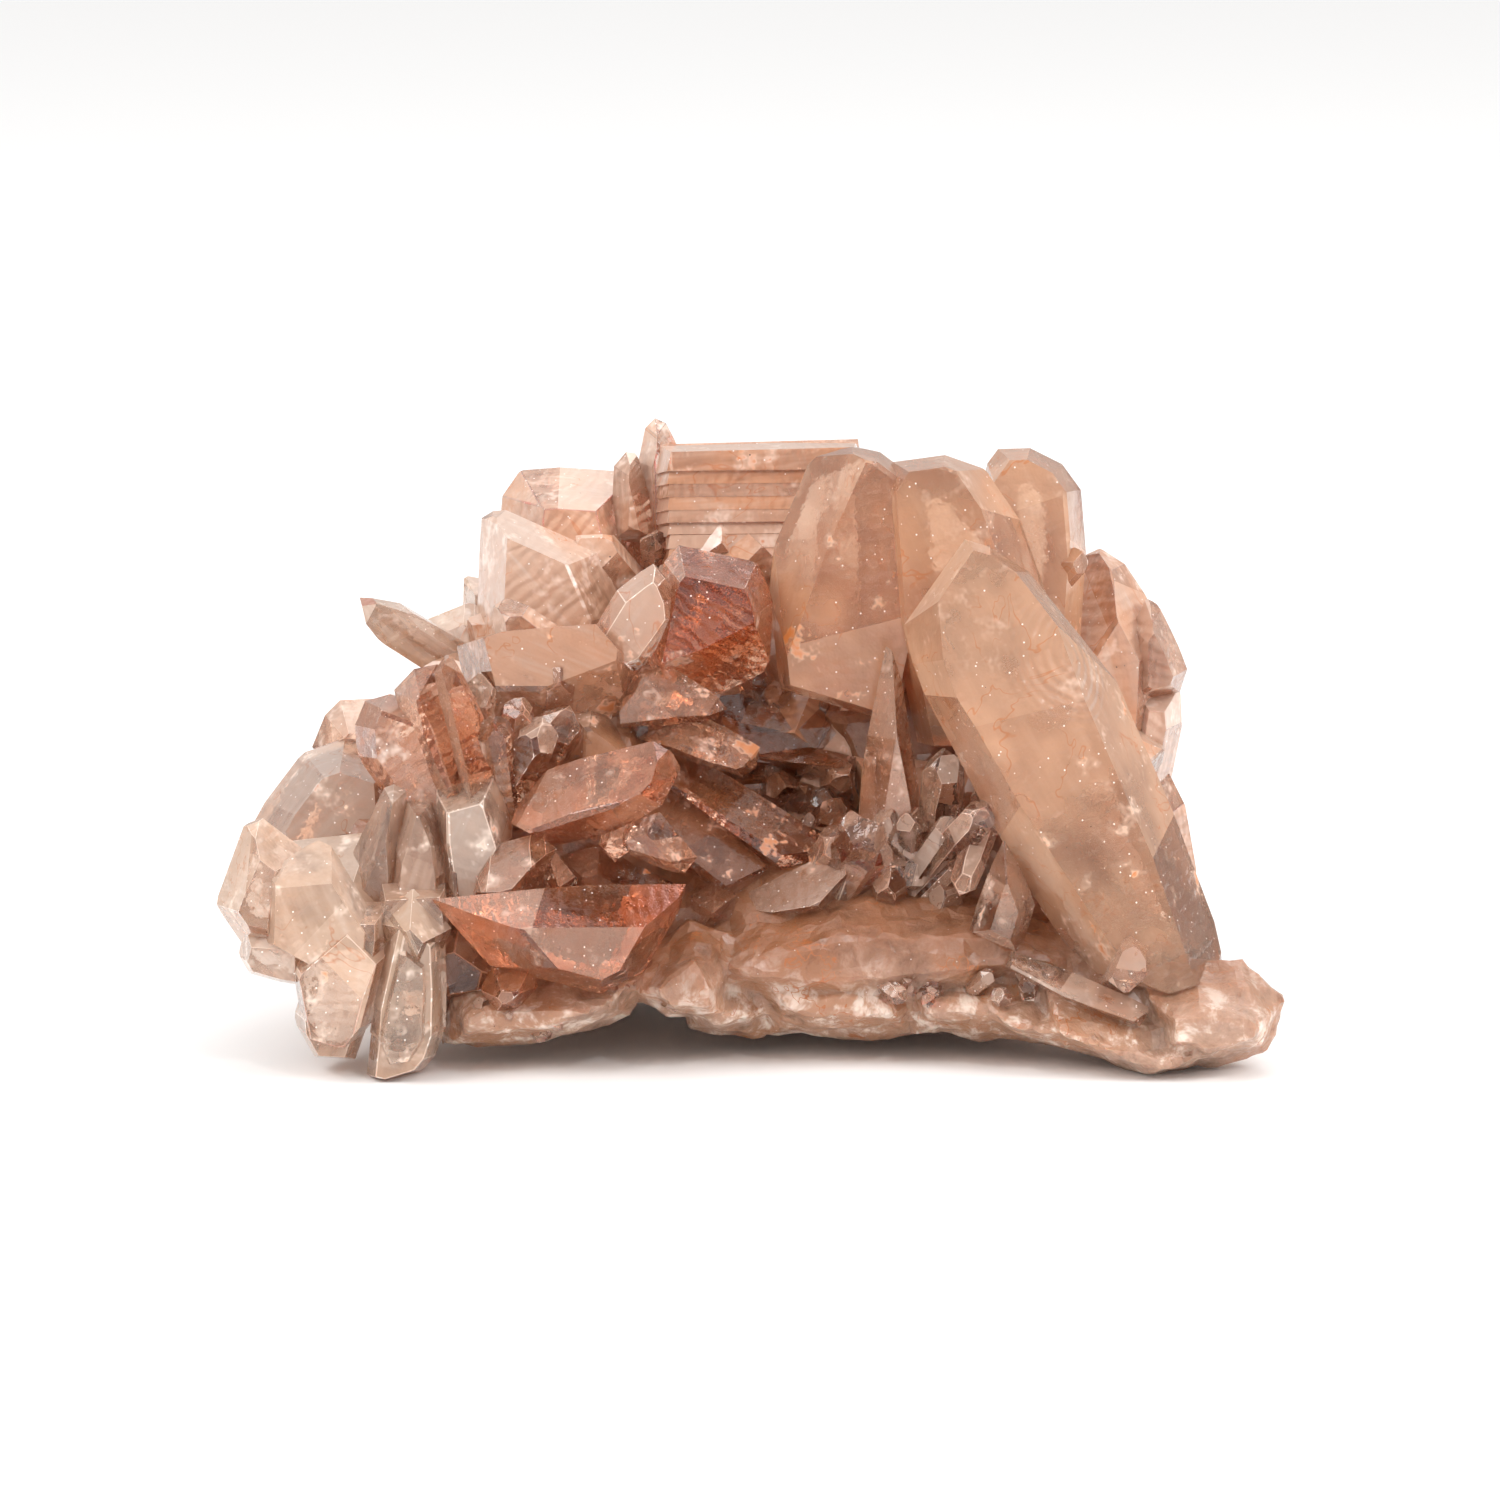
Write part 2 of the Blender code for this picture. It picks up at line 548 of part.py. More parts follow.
def back_left(grown):
    """The crystals along the skyline at the back left."""
    outlined(
        grown,
        [(-8, 63.8), (10.8, 64.3), (11.5, 61), (9, 50), (-9, 50), (-11, 57)],
        55, 14, lean=[26, 10, 10, 20, 20, 20], slant=(0.1, 0.2),
    )
    outlined(
        grown,
        [(-11.2, 62), (-10.5, 65.4), (-9.5, 66.4), (-8.4, 65.9), (-7.2, 63.6), (-5.5, 54),
         (-11, 54)],
        52, 6,
    )
    outlined(grown, [(-13.6, 61.6), (-12.4, 63), (-10.9, 62.8), (-9, 54), (-14, 54)], 50, 7)
    outlined(
        grown,
        [(-24.8, 58.6), (-23, 61.2), (-19, 61.5), (-11.5, 61), (-9, 50), (-22, 48), (-25.2, 54)],
        55, 18, slant=(0, 0.2),
    )
    outlined(
        grown,
        [(-27, 56.3), (-25.7, 57.1), (-24.4, 57.2), (-15, 53), (-12.5, 47), (-13, 40), (-28, 40),
         (-27.3, 50)],
        44, 16, lean=[10, 10, 14, 20, 20, 10, 10, 24], behind=34, slant=(-0.05, 0.1),
    )
    crystal(grown, seen_at(1.2, 53.6, 44), seen_at(-4.0, 48, 52), 7.0)
    crystal(grown, seen_at(-3.0, 56.0, 46), seen_at(-6.0, 46, 52), 6.0, turn=20)
    crystal(grown, seen_at(-17.0, 54.5, 44), seen_at(-10.0, 46, 50), 6.5, turn=10)


def rear(grown):
    """Points of all sizes over the back, fanned out evenly from deep inside the crust."""
    chance = random.Random(REAR_SEED)
    heart = Vector((0, 36, 12)) * MM
    reach = Vector((44, 33, 36)) * MM
    for step in range(REAR_POINTS):
        lift = math.asin(0.9 * (step + 0.5) / REAR_POINTS)
        round_back = ((step * GOLDEN_RATIO) % 1 - 0.5) * REAR_FAN
        way = Vector((math.sin(round_back), math.cos(round_back), math.tan(lift))).normalized()
        tip = heart + Vector([a * b for a, b in zip(way, reach)]) * chance.uniform(0.9, 1.06)
        askew = Vector([chance.uniform(-8, 8) for _ in range(3)]) * MM
        root = heart.lerp(tip, 0.25) + askew
        root.z = max(root.z, REAR_LOWEST_ROOT * MM)
        width = chance.choice(REAR_WIDTHS) * chance.uniform(0.85, 1.15)
        crystal(grown, tip, root, width, turn=chance.uniform(-30, 30))


def grown_together(core, grown):
    """The mesh of every piece as one solid, without the pockets that the pieces close off."""
    union = core.modifiers.new("Grown together", "BOOLEAN")
    union.operation = "UNION"
    union.solver = "EXACT"
    union.operand_type = "COLLECTION"
    union.collection = grown
    graph = bpy.context.evaluated_depsgraph_get()
    mesh = bpy.data.meshes.new_from_object(core.evaluated_get(graph))
    core.modifiers.remove(union)
    bm = bmesh.new()
    bm.from_mesh(mesh)
    bm.transform(core.matrix_world)
    bpy.data.meshes.remove(mesh)
    return bm


def shells(bm):
    """Groups of joined faces."""
    groups = []
    seen = set()
    for start in bm.faces:
        if start in seen:
            continue
        group = []
        waiting = [start]
        seen.add(start)
        while waiting:
            face = waiting.pop()
            group.append(face)
            for edge in face.edges:
                for other in edge.link_faces:
                    if other not in seen:
                        seen.add(other)
                        waiting.append(other)
        groups.append(group)
    return groups


def clean(bm):
    """Keeps the outer skin and takes out edges and corners that make no visible shape."""
    groups = sorted(shells(bm), key=len)
    inner = [face for group in groups[:-1] for face in group]
    bmesh.ops.delete(bm, geom=inner, context="FACES")
    bmesh.ops.remove_doubles(bm, verts=bm.verts, dist=0.02 * MM)
    bmesh.ops.dissolve_degenerate(bm, edges=bm.edges, dist=0.02 * MM)
    bmesh.ops.dissolve_limit(
        bm, angle_limit=math.radians(0.5), verts=bm.verts, edges=bm.edges, delimit={"NORMAL"}
    )
    bmesh.ops.triangulate(bm, faces=bm.faces)
    bmesh.ops.recalc_face_normals(bm, faces=bm.faces)


def set_down(bm):
    """Wears the feet flat and puts the origin under the middle of the cluster."""
    floor = FOOT_LEVEL * MM
    cut_flat(bm, Vector((0, 0, floor)), Vector((0, 0, -1)))
    middle_x = (min(v.co.x for v in bm.verts) + max(v.co.x for v in bm.verts)) / 2
    middle_y = (min(v.co.y for v in bm.verts) + max(v.co.y for v in bm.verts)) / 2
    bmesh.ops.translate(bm, vec=(-middle_x, -middle_y, -floor), verts=bm.verts)


def quartz():
    material = bpy.data.materials.new("quartz")
    material.use_nodes = True
    shader = material.node_tree.nodes["Principled BSDF"]
    shader.inputs["Base Color"].default_value = QUARTZ_COLOUR
    shader.inputs["Roughness"].default_value = QUARTZ_ROUGHNESS
    shader.inputs["Metallic"].default_value = 0.0
    return material


def grow():
    """Every crystal and lump by itself, in a collection that isn't shown."""
    for obj in list(bpy.data.objects):
        bpy.data.objects.remove(obj, do_unlink=True)
    grown = bpy.data.collections.new("Grown pieces")
    grown.hide_render = True
    bpy.context.scene.collection.children.link(grown)
    crust(grown)
    left_foot(grown)
    left_shoulder(grown)
    left_prisms(grown)
    middle_crest(grown)
    bay(grown)
    lying_points(grown)
    front_rim(grown)
    right_foot(grown)
    great_point(grown)
    standing_row(grown)
    right_rear(grown)
    back_left(grown)
    rear(grown)
    return grown


def build():
    grown = grow()
    cluster = bpy.data.collections.new("Quartz cluster")
    bpy.context.scene.collection.children.link(cluster)
    core = grown.objects[0]
    bpy.context.scene.collection.objects.link(core)
    grown.objects.unlink(core)
    bm = grown_together(core, grown)
    clean(bm)
    set_down(bm)
    clean(bm)
    mesh = bpy.data.meshes.new("quartz_cluster")
    bm.to_mesh(mesh)
    bm.free()
    mesh.materials.append(quartz())
    obj = bpy.data.objects.new("quartz_cluster", mesh)
    cluster.objects.link(obj)
    return obj


if __name__ == "__main__":
    build()
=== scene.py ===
"""Looks of a cluster of peach-pink quartz points on a broken crust of milky quartz."""

import math
import random

import bpy
from mathutils import Matrix, Vector


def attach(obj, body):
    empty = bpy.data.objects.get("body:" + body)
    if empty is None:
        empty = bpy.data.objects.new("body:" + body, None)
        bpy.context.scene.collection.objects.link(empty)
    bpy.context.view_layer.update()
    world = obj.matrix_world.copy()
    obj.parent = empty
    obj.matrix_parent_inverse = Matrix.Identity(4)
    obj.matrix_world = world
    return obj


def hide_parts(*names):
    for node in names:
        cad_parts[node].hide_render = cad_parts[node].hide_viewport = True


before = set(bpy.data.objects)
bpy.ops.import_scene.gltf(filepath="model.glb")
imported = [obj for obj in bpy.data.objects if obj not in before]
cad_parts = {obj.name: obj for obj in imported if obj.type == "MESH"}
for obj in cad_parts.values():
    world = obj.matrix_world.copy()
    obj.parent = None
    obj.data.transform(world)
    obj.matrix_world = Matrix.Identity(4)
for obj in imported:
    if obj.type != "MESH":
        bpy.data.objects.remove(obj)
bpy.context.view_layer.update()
bpy.ops.object.select_all(action="DESELECT")


# ---- Studio ----
# A pale table in a light tent: even white light from all round, a soft box above at the left, and
# a camera with a long lens that looks down a little on the front of the cluster.

MM = 0.001
VIEW_TILT = math.radians(10)
VIEW_DISTANCE = 700.0
# The middle of the view, and how far the cluster was moved to stand over the origin
VIEW_MIDDLE = Vector((0, 20, 30.186))
SET_DOWN = Vector((0.0154, -36.047, 0.4))
to_viewer = Vector((0, -math.cos(VIEW_TILT), math.sin(VIEW_TILT)))
EYE = VIEW_MIDDLE + to_viewer * VIEW_DISTANCE

bpy.ops.object.camera_add(location=(EYE + SET_DOWN) * MM, rotation=(math.radians(80), 0, 0))
camera = bpy.context.object
camera.name = "camera"
camera.data.sensor_width = 36
camera.data.lens = 36 * VIEW_DISTANCE / 150
camera.data.clip_start = 0.01
bpy.context.scene.camera = camera
bpy.context.scene.view_settings.view_transform = "Standard"

world = bpy.data.worlds.new("light_tent")
bpy.context.scene.world = world
world.use_nodes = True
# The tent is brighter overhead than at the sides
direction = world.node_tree.nodes.new("ShaderNodeTexCoord")
upward = world.node_tree.nodes.new("ShaderNodeSeparateXYZ")
cloth = world.node_tree.nodes.new("ShaderNodeMix")
cloth.data_type = "RGBA"
cloth.inputs[6].default_value = (0.42, 0.415, 0.41, 1)
cloth.inputs[7].default_value = (1.25, 1.24, 1.23, 1)
world.node_tree.links.new(direction.outputs["Generated"], upward.inputs["Vector"])
world.node_tree.links.new(upward.outputs["Z"], cloth.inputs["Factor"])
world.node_tree.links.new(cloth.outputs[2], world.node_tree.nodes["Background"].inputs["Color"])


def soft_box(name, place, size, power):
    """An area light that faces the middle of the cluster."""
    bpy.ops.object.light_add(type="AREA", location=place)
    lamp = bpy.context.object
    lamp.name = name
    lamp.data.size = size
    lamp.data.energy = power
    lamp.rotation_euler = (Vector((0, 0, 0.03)) - lamp.location).to_track_quat("-Z", "Y").to_euler()


soft_box("soft_box_left", (-0.6, -0.35, 0.6), 0.45, 3.8)
soft_box("soft_box_right", (0.7, -0.3, 0.5), 0.3, 3.3)
soft_box("soft_box_back", (0.3, 0.5, 0.9), 0.5, 1.5)
soft_box("small_lamp", (0.3, -0.6, 0.7), 0.07, 1.0)

bpy.ops.mesh.primitive_plane_add(size=8, location=(0, 0, 0))
table = bpy.context.object
table.name = "table"
table_white = bpy.data.materials.new("table_white")
table_white.use_nodes = True
table_white.node_tree.nodes["Principled BSDF"].inputs["Base Color"].default_value = (0.93, 0.93, 0.93, 1)
table_white.node_tree.nodes["Principled BSDF"].inputs["Roughness"].default_value = 0.7
table.data.materials.append(table_white)


# ---- Broken crust ----
# Milky quartz that the points grow from: one rough mass of grown-together grains, broken off the
# rock all round, with a thick white rim along the front and four worn feet.


def seen_at(across, up, back):
    """The point in space, in metres, that shows at this place in the front view, this far back."""
    rise = up - 33.2
    share = (back - EYE.y) / (VIEW_DISTANCE * math.cos(VIEW_TILT) + rise * math.sin(VIEW_TILT))
    z = EYE.z + share * (rise * math.cos(VIEW_TILT) - VIEW_DISTANCE * math.sin(VIEW_TILT))
    return (Vector((share * across, back, z)) + SET_DOWN) * MM


def cut(point, normal):
    """Cuts flat what lies past a plane off the piece in hand, in edit mode."""
    bpy.ops.mesh.select_all(action="SELECT")
    bpy.ops.mesh.bisect(
        plane_co=point, plane_no=normal, use_fill=True, clear_outer=True, threshold=1e-7
    )


def apply_modifier(piece, kind, **settings):
    modifier = piece.modifiers.new(kind, kind)
    for name, value in settings.items():
        setattr(modifier, name, value)
    bpy.context.view_layer.objects.active = piece
    bpy.ops.object.modifier_apply(modifier=modifier.name)


class Wire:
    """What comes out of a node. Sums and products of wires and numbers add Math nodes."""

    def __init__(self, finish, socket):
        self.finish = finish
        self.socket = socket

    def maths(self, operation, first, second=0.0, third=0.0):
        settings = {"operation": operation, "use_clamp": False}
        return self.finish.node("ShaderNodeMath", settings, {0: first, 1: second, 2: third})

    def __add__(self, other):
        return self.maths("ADD", self, other)

    def __sub__(self, other):
        return self.maths("SUBTRACT", self, other)

    def __mul__(self, other):
        return self.maths("MULTIPLY", self, other)

    def __pow__(self, other):
        return self.maths("POWER", self, other)

    def __rsub__(self, other):
        return self.maths("SUBTRACT", other, self)

    __radd__ = __add__
    __rmul__ = __mul__

    def __abs__(self):
        return self.maths("ABSOLUTE", self)

    def step(self, low, high):
        """0 below low, 1 above high and smooth between, or the other way round if high is less."""
        values = {"Value": self, "From Min": low, "From Max": high}
        return self.finish.node("ShaderNodeMapRange", {"interpolation_type": "SMOOTHSTEP"}, values)


class Finish:
    """A material in the making."""

    def __init__(self, name):
        self.material = bpy.data.materials.new(name)
        self.material.use_nodes = True
        self.tree = self.material.node_tree
        self.tree.nodes.clear()

    def node(self, kind, settings=None, values=None, out=0):
        """Adds a node, with its settings first and then the values or wires of its sockets."""
        node = self.tree.nodes.new(kind)
        for name, value in (settings or {}).items():
            setattr(node, name, value)
        for name, value in (values or {}).items():
            if isinstance(value, Wire):
                self.tree.links.new(value.socket, node.inputs[name])
            else:
                node.inputs[name].default_value = value
        return Wire(self, node.outputs[out])

    def place(self, stretch=(1, 1, 1), offset=(0, 0, 0)):
        """Where a point is on the whole cluster."""
        where = self.node("ShaderNodeTexCoord", out="Object")
        return self.node("ShaderNodeMapping", {}, {"Vector": where, "Scale": stretch, "Location": offset})

    def grain(self, stretch=(1, 1, 1)):
        """Where a point is on its own crystal: to the front, across and along, in metres."""
        where = self.node("ShaderNodeAttribute", {"attribute_name": "grain"}, out="Vector")
        return self.node("ShaderNodeMapping", {}, {"Vector": where, "Scale": stretch})

    def facet(self):
        """The painted light of the face, a chance number of the crystal, and the share of its height."""
        values = self.node("ShaderNodeAttribute", {"attribute_name": "facet"}, out="Vector")
        return [self.node("ShaderNodeSeparateXYZ", {}, {"Vector": values}, out) for out in range(3)]

    def noise(self, where, size, detail=4.0, roughness=0.55, distortion=0.0):
        """Cloudy noise, with its features about this size in millimetres."""
        values = {"Vector": where, "Scale": 1000 / size, "Detail": detail, "Roughness": roughness,
                  "Distortion": distortion}
        return self.node("ShaderNodeTexNoise", {}, values)

    def specks(self, where, spacing, width, white, dark):
        """Round specks this wide and this far apart, in millimetres, in shares of the places."""
        cells = self.tree.nodes.new("ShaderNodeTexVoronoi")
        cells.inputs["Scale"].default_value = 1000 / spacing
        self.tree.links.new(where.socket, cells.inputs["Vector"])
        spot = Wire(self, cells.outputs["Distance"]).step(width / spacing * 0.5, width / spacing * 0.35)
        chance = self.node("ShaderNodeSeparateColor", {}, {"Color": Wire(self, cells.outputs["Color"])})
        return spot * chance.step(1 - white, 1.01 - white), spot * chance.step(dark, dark - 0.01)

    def mixed(self, share, first, second):
        """The first colour where share is 0, and the second where it is 1."""
        values = {"Factor": share, 6: first, 7: second}
        return self.node("ShaderNodeMix", {"data_type": "RGBA"}, values, out=2)

    def done(self, surface, volume=None):
        values = {"Surface": surface}
        if volume:
            values["Volume"] = volume
        output = self.tree.nodes.new("ShaderNodeOutputMaterial")
        for name, wire in values.items():
            self.tree.links.new(wire.socket, output.inputs[name])
        return self.material


# WHITE is the pale of milky mottles and streaks, and also of the painted highlight on lit faces
WHITE = (0.86, 0.72, 0.62, 1)
RUST = (0.42, 0.13, 0.035, 1)
DARK = (0.06, 0.03, 0.02, 1)


def milky_quartz(name, pale, warm, deep):
    """Broken milky quartz: mottled and cloudy, with rusty cracks, brown tufts, and white specks that are
    partly dust and partly painted glints.
    """
    finish = Finish(name)
    where = finish.place()
    broad = finish.noise(where, 10, 2)
    mottle = finish.noise(where, 3.4, 4, 0.7, 0.3)
    fine = finish.noise(where, 0.7, 3, 0.6)
    colour = finish.mixed(broad.step(0.38, 0.62), pale, warm)
    # Painted shade: high is the upper part of the crust, under the points, which gets fewer white mottles
    # and the deep tan colour
    high = finish.node("ShaderNodeSeparateXYZ", {}, {"Vector": where}, 2).step(0.004, 0.014)
    colour = finish.mixed(mottle.step(0.5, 0.66) * (1.0 - high * 0.6), colour, WHITE)
    colour = finish.mixed(mottle.step(0.44, 0.28) * 0.5, colour, deep)
    # Painted shade makes it tan higher up, on the slopes under the points, and it is pale at the rim,
    # with rust along the cracks and brown tufts
    colour = finish.mixed(high * 0.85, colour, deep)
    crack = finish.noise(where, 8, 4, 0.62, 0.4)
    rust = abs(crack - 0.5).step(0.008, 0.001) * broad.step(0.48, 0.56) + crack.step(0.68, 0.74)
    colour = finish.mixed(rust.step(0.0, 1.3), colour, RUST)
    tuft = fine.step(0.52, 0.6) * crack.step(0.31, 0.28)
    colour = finish.mixed(tuft, colour, (0.2, 0.06, 0.015, 1))
    # White specks: real dust, and painted glints
    dust_and_glints, dark = finish.specks(where, 0.9, 0.15, 0.3, 0.04)
    colour = finish.mixed(dark, colour, DARK)
    colour = finish.mixed(dust_and_glints * 0.8, colour, (0.93, 0.87, 0.83, 1))
    height = fine * 0.6 + mottle
    bump = finish.node("ShaderNodeBump", {}, {"Strength": 0.5, "Distance": 0.0005, "Height": height})
    milky = finish.node("ShaderNodeBsdfPrincipled", {}, {
        "Base Color": colour, "Roughness": fine.step(0.3, 0.7) * 0.2 + 0.3, "Normal": bump,
        "IOR": 1.54, "Coat Weight": 0.4, "Coat Roughness": 0.25, "Coat IOR": 1.54,
        "Subsurface Weight": 0.5, "Subsurface Radius": (1.0, 0.55, 0.4), "Subsurface Scale": 0.002,
    })
    glass = finish.node("ShaderNodeBsdfPrincipled", {}, {
        "Base Color": (1.0, 1.0, 1.0, 1), "Roughness": 0.2, "Normal": bump, "IOR": 1.54,
        "Transmission Weight": 1.0,
    })
    cloud = (mottle * 0.6 + broad * 0.4).step(0.35, 0.6) * 0.4 + 0.6
    cloud = (cloud + rust + tuft + dust_and_glints).step(0.0, 1.0)
    surface = finish.node("ShaderNodeMixShader", {}, {"Fac": cloud, 1: glass, 2: milky})
    volume = finish.node("ShaderNodeVolumeAbsorption", {}, {"Color": (1.0, 0.66, 0.42, 1),
                                                            "Density": 60.0})
    return finish.done(surface, volume)


# Lumps of the crust: middle and size in millimetres, and a number that picks the shape
LUMPS = [
    ((-25, 30, 15), (44, 34, 24), 1), ((-18, 35, 24), (32, 28, 28), 2),
    ((25, 33, 14), (38, 34, 22), 3), ((20, 40, 26), (28, 22, 32), 4),
    ((0, 33, 12), (56, 36, 18), 5), ((-2, 46, 26), (48, 18, 38), 6),
    ((31, 24, 9), (28, 28, 12), 7), ((0, 44, 12), (66, 26, 18), 8),
    ((-20, 47, 8), (24, 22, 20), 9), ((21, 46, 8), (24, 22, 20), 10),
]


def lump(centre, size, seed):
    """A broken lump: a ball, cut flat all round."""
    chance = random.Random(seed)
    bpy.ops.mesh.primitive_ico_sphere_add(subdivisions=1, radius=1.15)
    piece = bpy.context.object
    bpy.ops.object.mode_set(mode="EDIT")
    for _ in range(20 if seed > 8 else 16):
        normal = Vector([chance.gauss(0, 1) for _ in range(3)]).normalized()
        cut(normal * chance.uniform(0.74, 0.94), normal)
    bpy.ops.object.mode_set(mode="OBJECT")
    piece.scale = Vector(size) * MM / 2
    piece.location = (Vector(centre) + SET_DOWN) * MM
    bpy.ops.object.transform_apply(location=True, rotation=True, scale=True)
    return piece


def faceted(outline, back, depth, lean=28, behind=None, slant=(0, 0), facets=()):
    """A crystal cut to an outline read in the front view, this far back and this deep.

    Each side of the outline leans towards the viewer by its angle lean, and behind the widest
    section away, by the same angle or by behind. slant is how much further back the crystal lies
    for each millimetre across and up. Each of the facets takes off what is left of a line
    between two places on the front face, at its own lean.
    """
    middle = [sum(place[axis] for place in outline) / len(outline) for axis in (0, 1)]

    def at(place, forward=0.0):
        further = slant[0] * (place[0] - middle[0]) + slant[1] * (place[1] - middle[1])
        return seen_at(place[0], place[1], back + further - forward)

    centre = at(middle)
    right = (at((middle[0] + 1, middle[1])) - centre).normalized()
    upright = (at((middle[0], middle[1] + 1)) - centre).normalized()
    facing = right.cross(upright).normalized()
    leans = lean if isinstance(lean, (list, tuple)) else [lean] * len(outline)
    bpy.ops.mesh.primitive_cube_add(size=0.3, location=centre)
    piece = bpy.context.object
    bpy.ops.object.mode_set(mode="EDIT")
    for index, start in enumerate(outline):
        start = at(start)
        end = at(outline[(index + 1) % len(outline)])
        outward = (end - start).cross(facing).normalized()
        if outward.dot(start - centre) < 0:
            outward.negate()
        tilt = math.radians(leans[index])
        cut(start, outward * math.cos(tilt) + facing * math.sin(tilt))
        tilt = tilt if behind is None else math.radians(behind)
        cut(start, outward * math.cos(tilt) - facing * math.sin(tilt))
    cut(centre + facing * depth * MM / 2, facing)
    cut(centre - facing * depth * MM / 2, -facing)
    for first, second, tilt in facets:
        first = at(first, depth / 2)
        outward = facing.cross(at(second, depth / 2) - first).normalized()
        tilt = math.radians(tilt)
        cut(first, outward * math.cos(tilt) + facing * math.sin(tilt))
    bpy.ops.object.mode_set(mode="OBJECT")
    bpy.ops.object.transform_apply(location=True)
    along = max(((at(a) - at(b)) for a in outline for b in outline), key=lambda way: way.length)
    if along.dot((centre - Vector((0, 0.003, 0.012))).normalized() + Vector((0, 0, 0.5))) < 0:
        along.negate()
    keep_axes(piece, centre, along.normalized(), facing)
    return piece


crystal_frames = {}


def keep_axes(piece, root, along, facing):
    """Keeps the axes of a crystal: to the front, across and along, from its root."""
    facing = (facing - along * facing.dot(along)).normalized()
    axes = Matrix((facing, along.cross(facing), along)).transposed().to_4x4()
    crystal_frames[piece.name] = Matrix.Translation(root) @ axes


def mark(piece, chance):
    """Writes on a crystal what its quartz goes by.

    The grain is where each corner is on its own crystal, so that its cracks and lines follow its
    axis. The facet holds the painted light of each face, a chance number of the crystal, and the
    height; the painted light is a chance tone that stands for the light each face reflects, made
    lighter on faces turned up and to the left, towards the soft box.
    """
    to_crystal = crystal_frames[piece.name].inverted()
    places = [to_crystal @ vertex.co for vertex in piece.data.vertices]
    low = min(place.z for place in places)
    high = max(place.z for place in places)
    own = chance.random()
    grain = piece.data.attributes.new("grain", "FLOAT_VECTOR", "CORNER")
    facet = piece.data.attributes.new("facet", "FLOAT_VECTOR", "CORNER")
    for face in piece.data.polygons:
        # Painted light: a chance tone per face for the light it reflects, lighter where the face turns up
        # and to the left, towards the soft box
        painted_light = 0.45 + chance.uniform(-0.4, 0.4) - 0.15 * face.normal.x + 0.2 * face.normal.z
        for index in face.loop_indices:
            place = places[piece.data.loops[index].vertex_index]
            grain.data[index].vector = (place.x + own, place.y, place.z)
            facet.data[index].vector = (painted_light, own, (place.z - low) / (high - low))


def joined(name, pieces):
    """One object of several, which keeps each as it is."""
    bpy.ops.object.select_all(action="DESELECT")
    for piece in pieces:
        piece.select_set(True)
    bpy.context.view_layer.objects.active = pieces[0]
    bpy.ops.object.join()
    pieces[0].name = name
    return pieces[0]


masses = [lump(*one) for one in LUMPS]
# Left: what the lying points rest on. Middle and right: the rim. Last: the two front feet.
masses += [
    faceted([(-31, 3.6), (-31, 10), (-27, 12), (-10, 12), (-12, 6.8), (-15, 5.3), (-22, 3.7)],
            14, 16, 24),
    faceted([(-14, 7.4), (-11.5, 12.5), (-6, 16.5), (-2, 15), (-1, 6.5), (-5.5, 5.2), (-8.5, 6.8)],
            14, 16, 20),
    faceted([(-3, 17.4), (8, 21), (19, 20.5), (30, 16.5), (35, 11), (29, 7.5), (18, 6.4), (5, 6.6),
             (-4, 8), (-6, 12)], 19, 18, [40, 40, 30, 24, 10, 20, 14, 14, 20, 20], slant=(0, 0.35)),
    faceted([(2, 14), (14, 14), (19, 8), (16, 4.6), (9, 4.3), (2, 5), (-2, 9)], 18, 15,
            [40, 34, 20, 14, 14, 20, 24], slant=(0, 0.3)),
    faceted([(14, 12), (26, 14), (33, 9), (30, 4.8), (23, 4.2), (16, 5)], 17, 15,
            [40, 34, 20, 14, 14, 20], slant=(0, 0.3)),
    faceted([(-7, 11), (0, 12), (4, 8), (1, 4.8), (-3, 4.4), (-6.5, 5.6)], 18, 13, 24),
    faceted([(26, 17), (32, 16), (37, 10), (33, 7), (27, 9)], 17, 12, 24),
    faceted([(37.5, 11.5), (42, 12.4), (49.3, 12.4), (53.5, 8.5), (51.8, 3.2), (45.5, 1.4),
             (40.5, 3)], 11, 15, [30, 30, 24, 20, 24, 24, 20]),
    faceted([(29, 12), (40, 9.5), (46, 8), (48, 3.5), (44, 1.2), (40.9, 0.5), (36.7, 1.3),
             (29, 4.3)], 12, 15, [36, 36, 24, 20, 20, 16, 20, 16]),
    faceted([(23, 13.5), (34, 11), (39, 7), (37, 2.6), (31.2, 3.4), (25.5, 4.6), (21, 8)],
            15, 15, [36, 30, 24, 16, 20, 16, 24]),
]
crust = joined("broken_crust", masses)
apply_modifier(crust, "REMESH", mode="VOXEL", voxel_size=0.00055)
for pattern, size, strength in (("CLOUDS", 7.0, 1.2), ("VORONOI", 3.2, 0.7), ("CLOUDS", 1.2, 0.35)):
    texture = bpy.data.textures.new(f"crust_{pattern}_{size}", pattern)
    texture.noise_scale = size * MM
    apply_modifier(crust, "DISPLACE", texture=texture, strength=strength * MM, mid_level=0.5,
                   texture_coords="LOCAL")
apply_modifier(crust, "DECIMATE", ratio=0.22)
bpy.ops.object.mode_set(mode="EDIT")
cut((0, 0, 0), (0, 0, -1))
bpy.ops.object.mode_set(mode="OBJECT")
bpy.ops.object.shade_smooth_by_angle(angle=math.radians(11))
crust.data.materials.clear()
crust.data.materials.append(milky_quartz("milky_quartz", (0.56, 0.35, 0.25, 1), (0.46, 0.24, 0.14, 1),
                                         (0.28, 0.10, 0.038, 1)))
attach(crust, "root")
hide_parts("quartz_cluster")


# ---- White twin ----
# Two short cloudy crystals grown through each other at the front left, almost white, with the
# steps of their growth on the upper faces and an orange stain in the cracks.


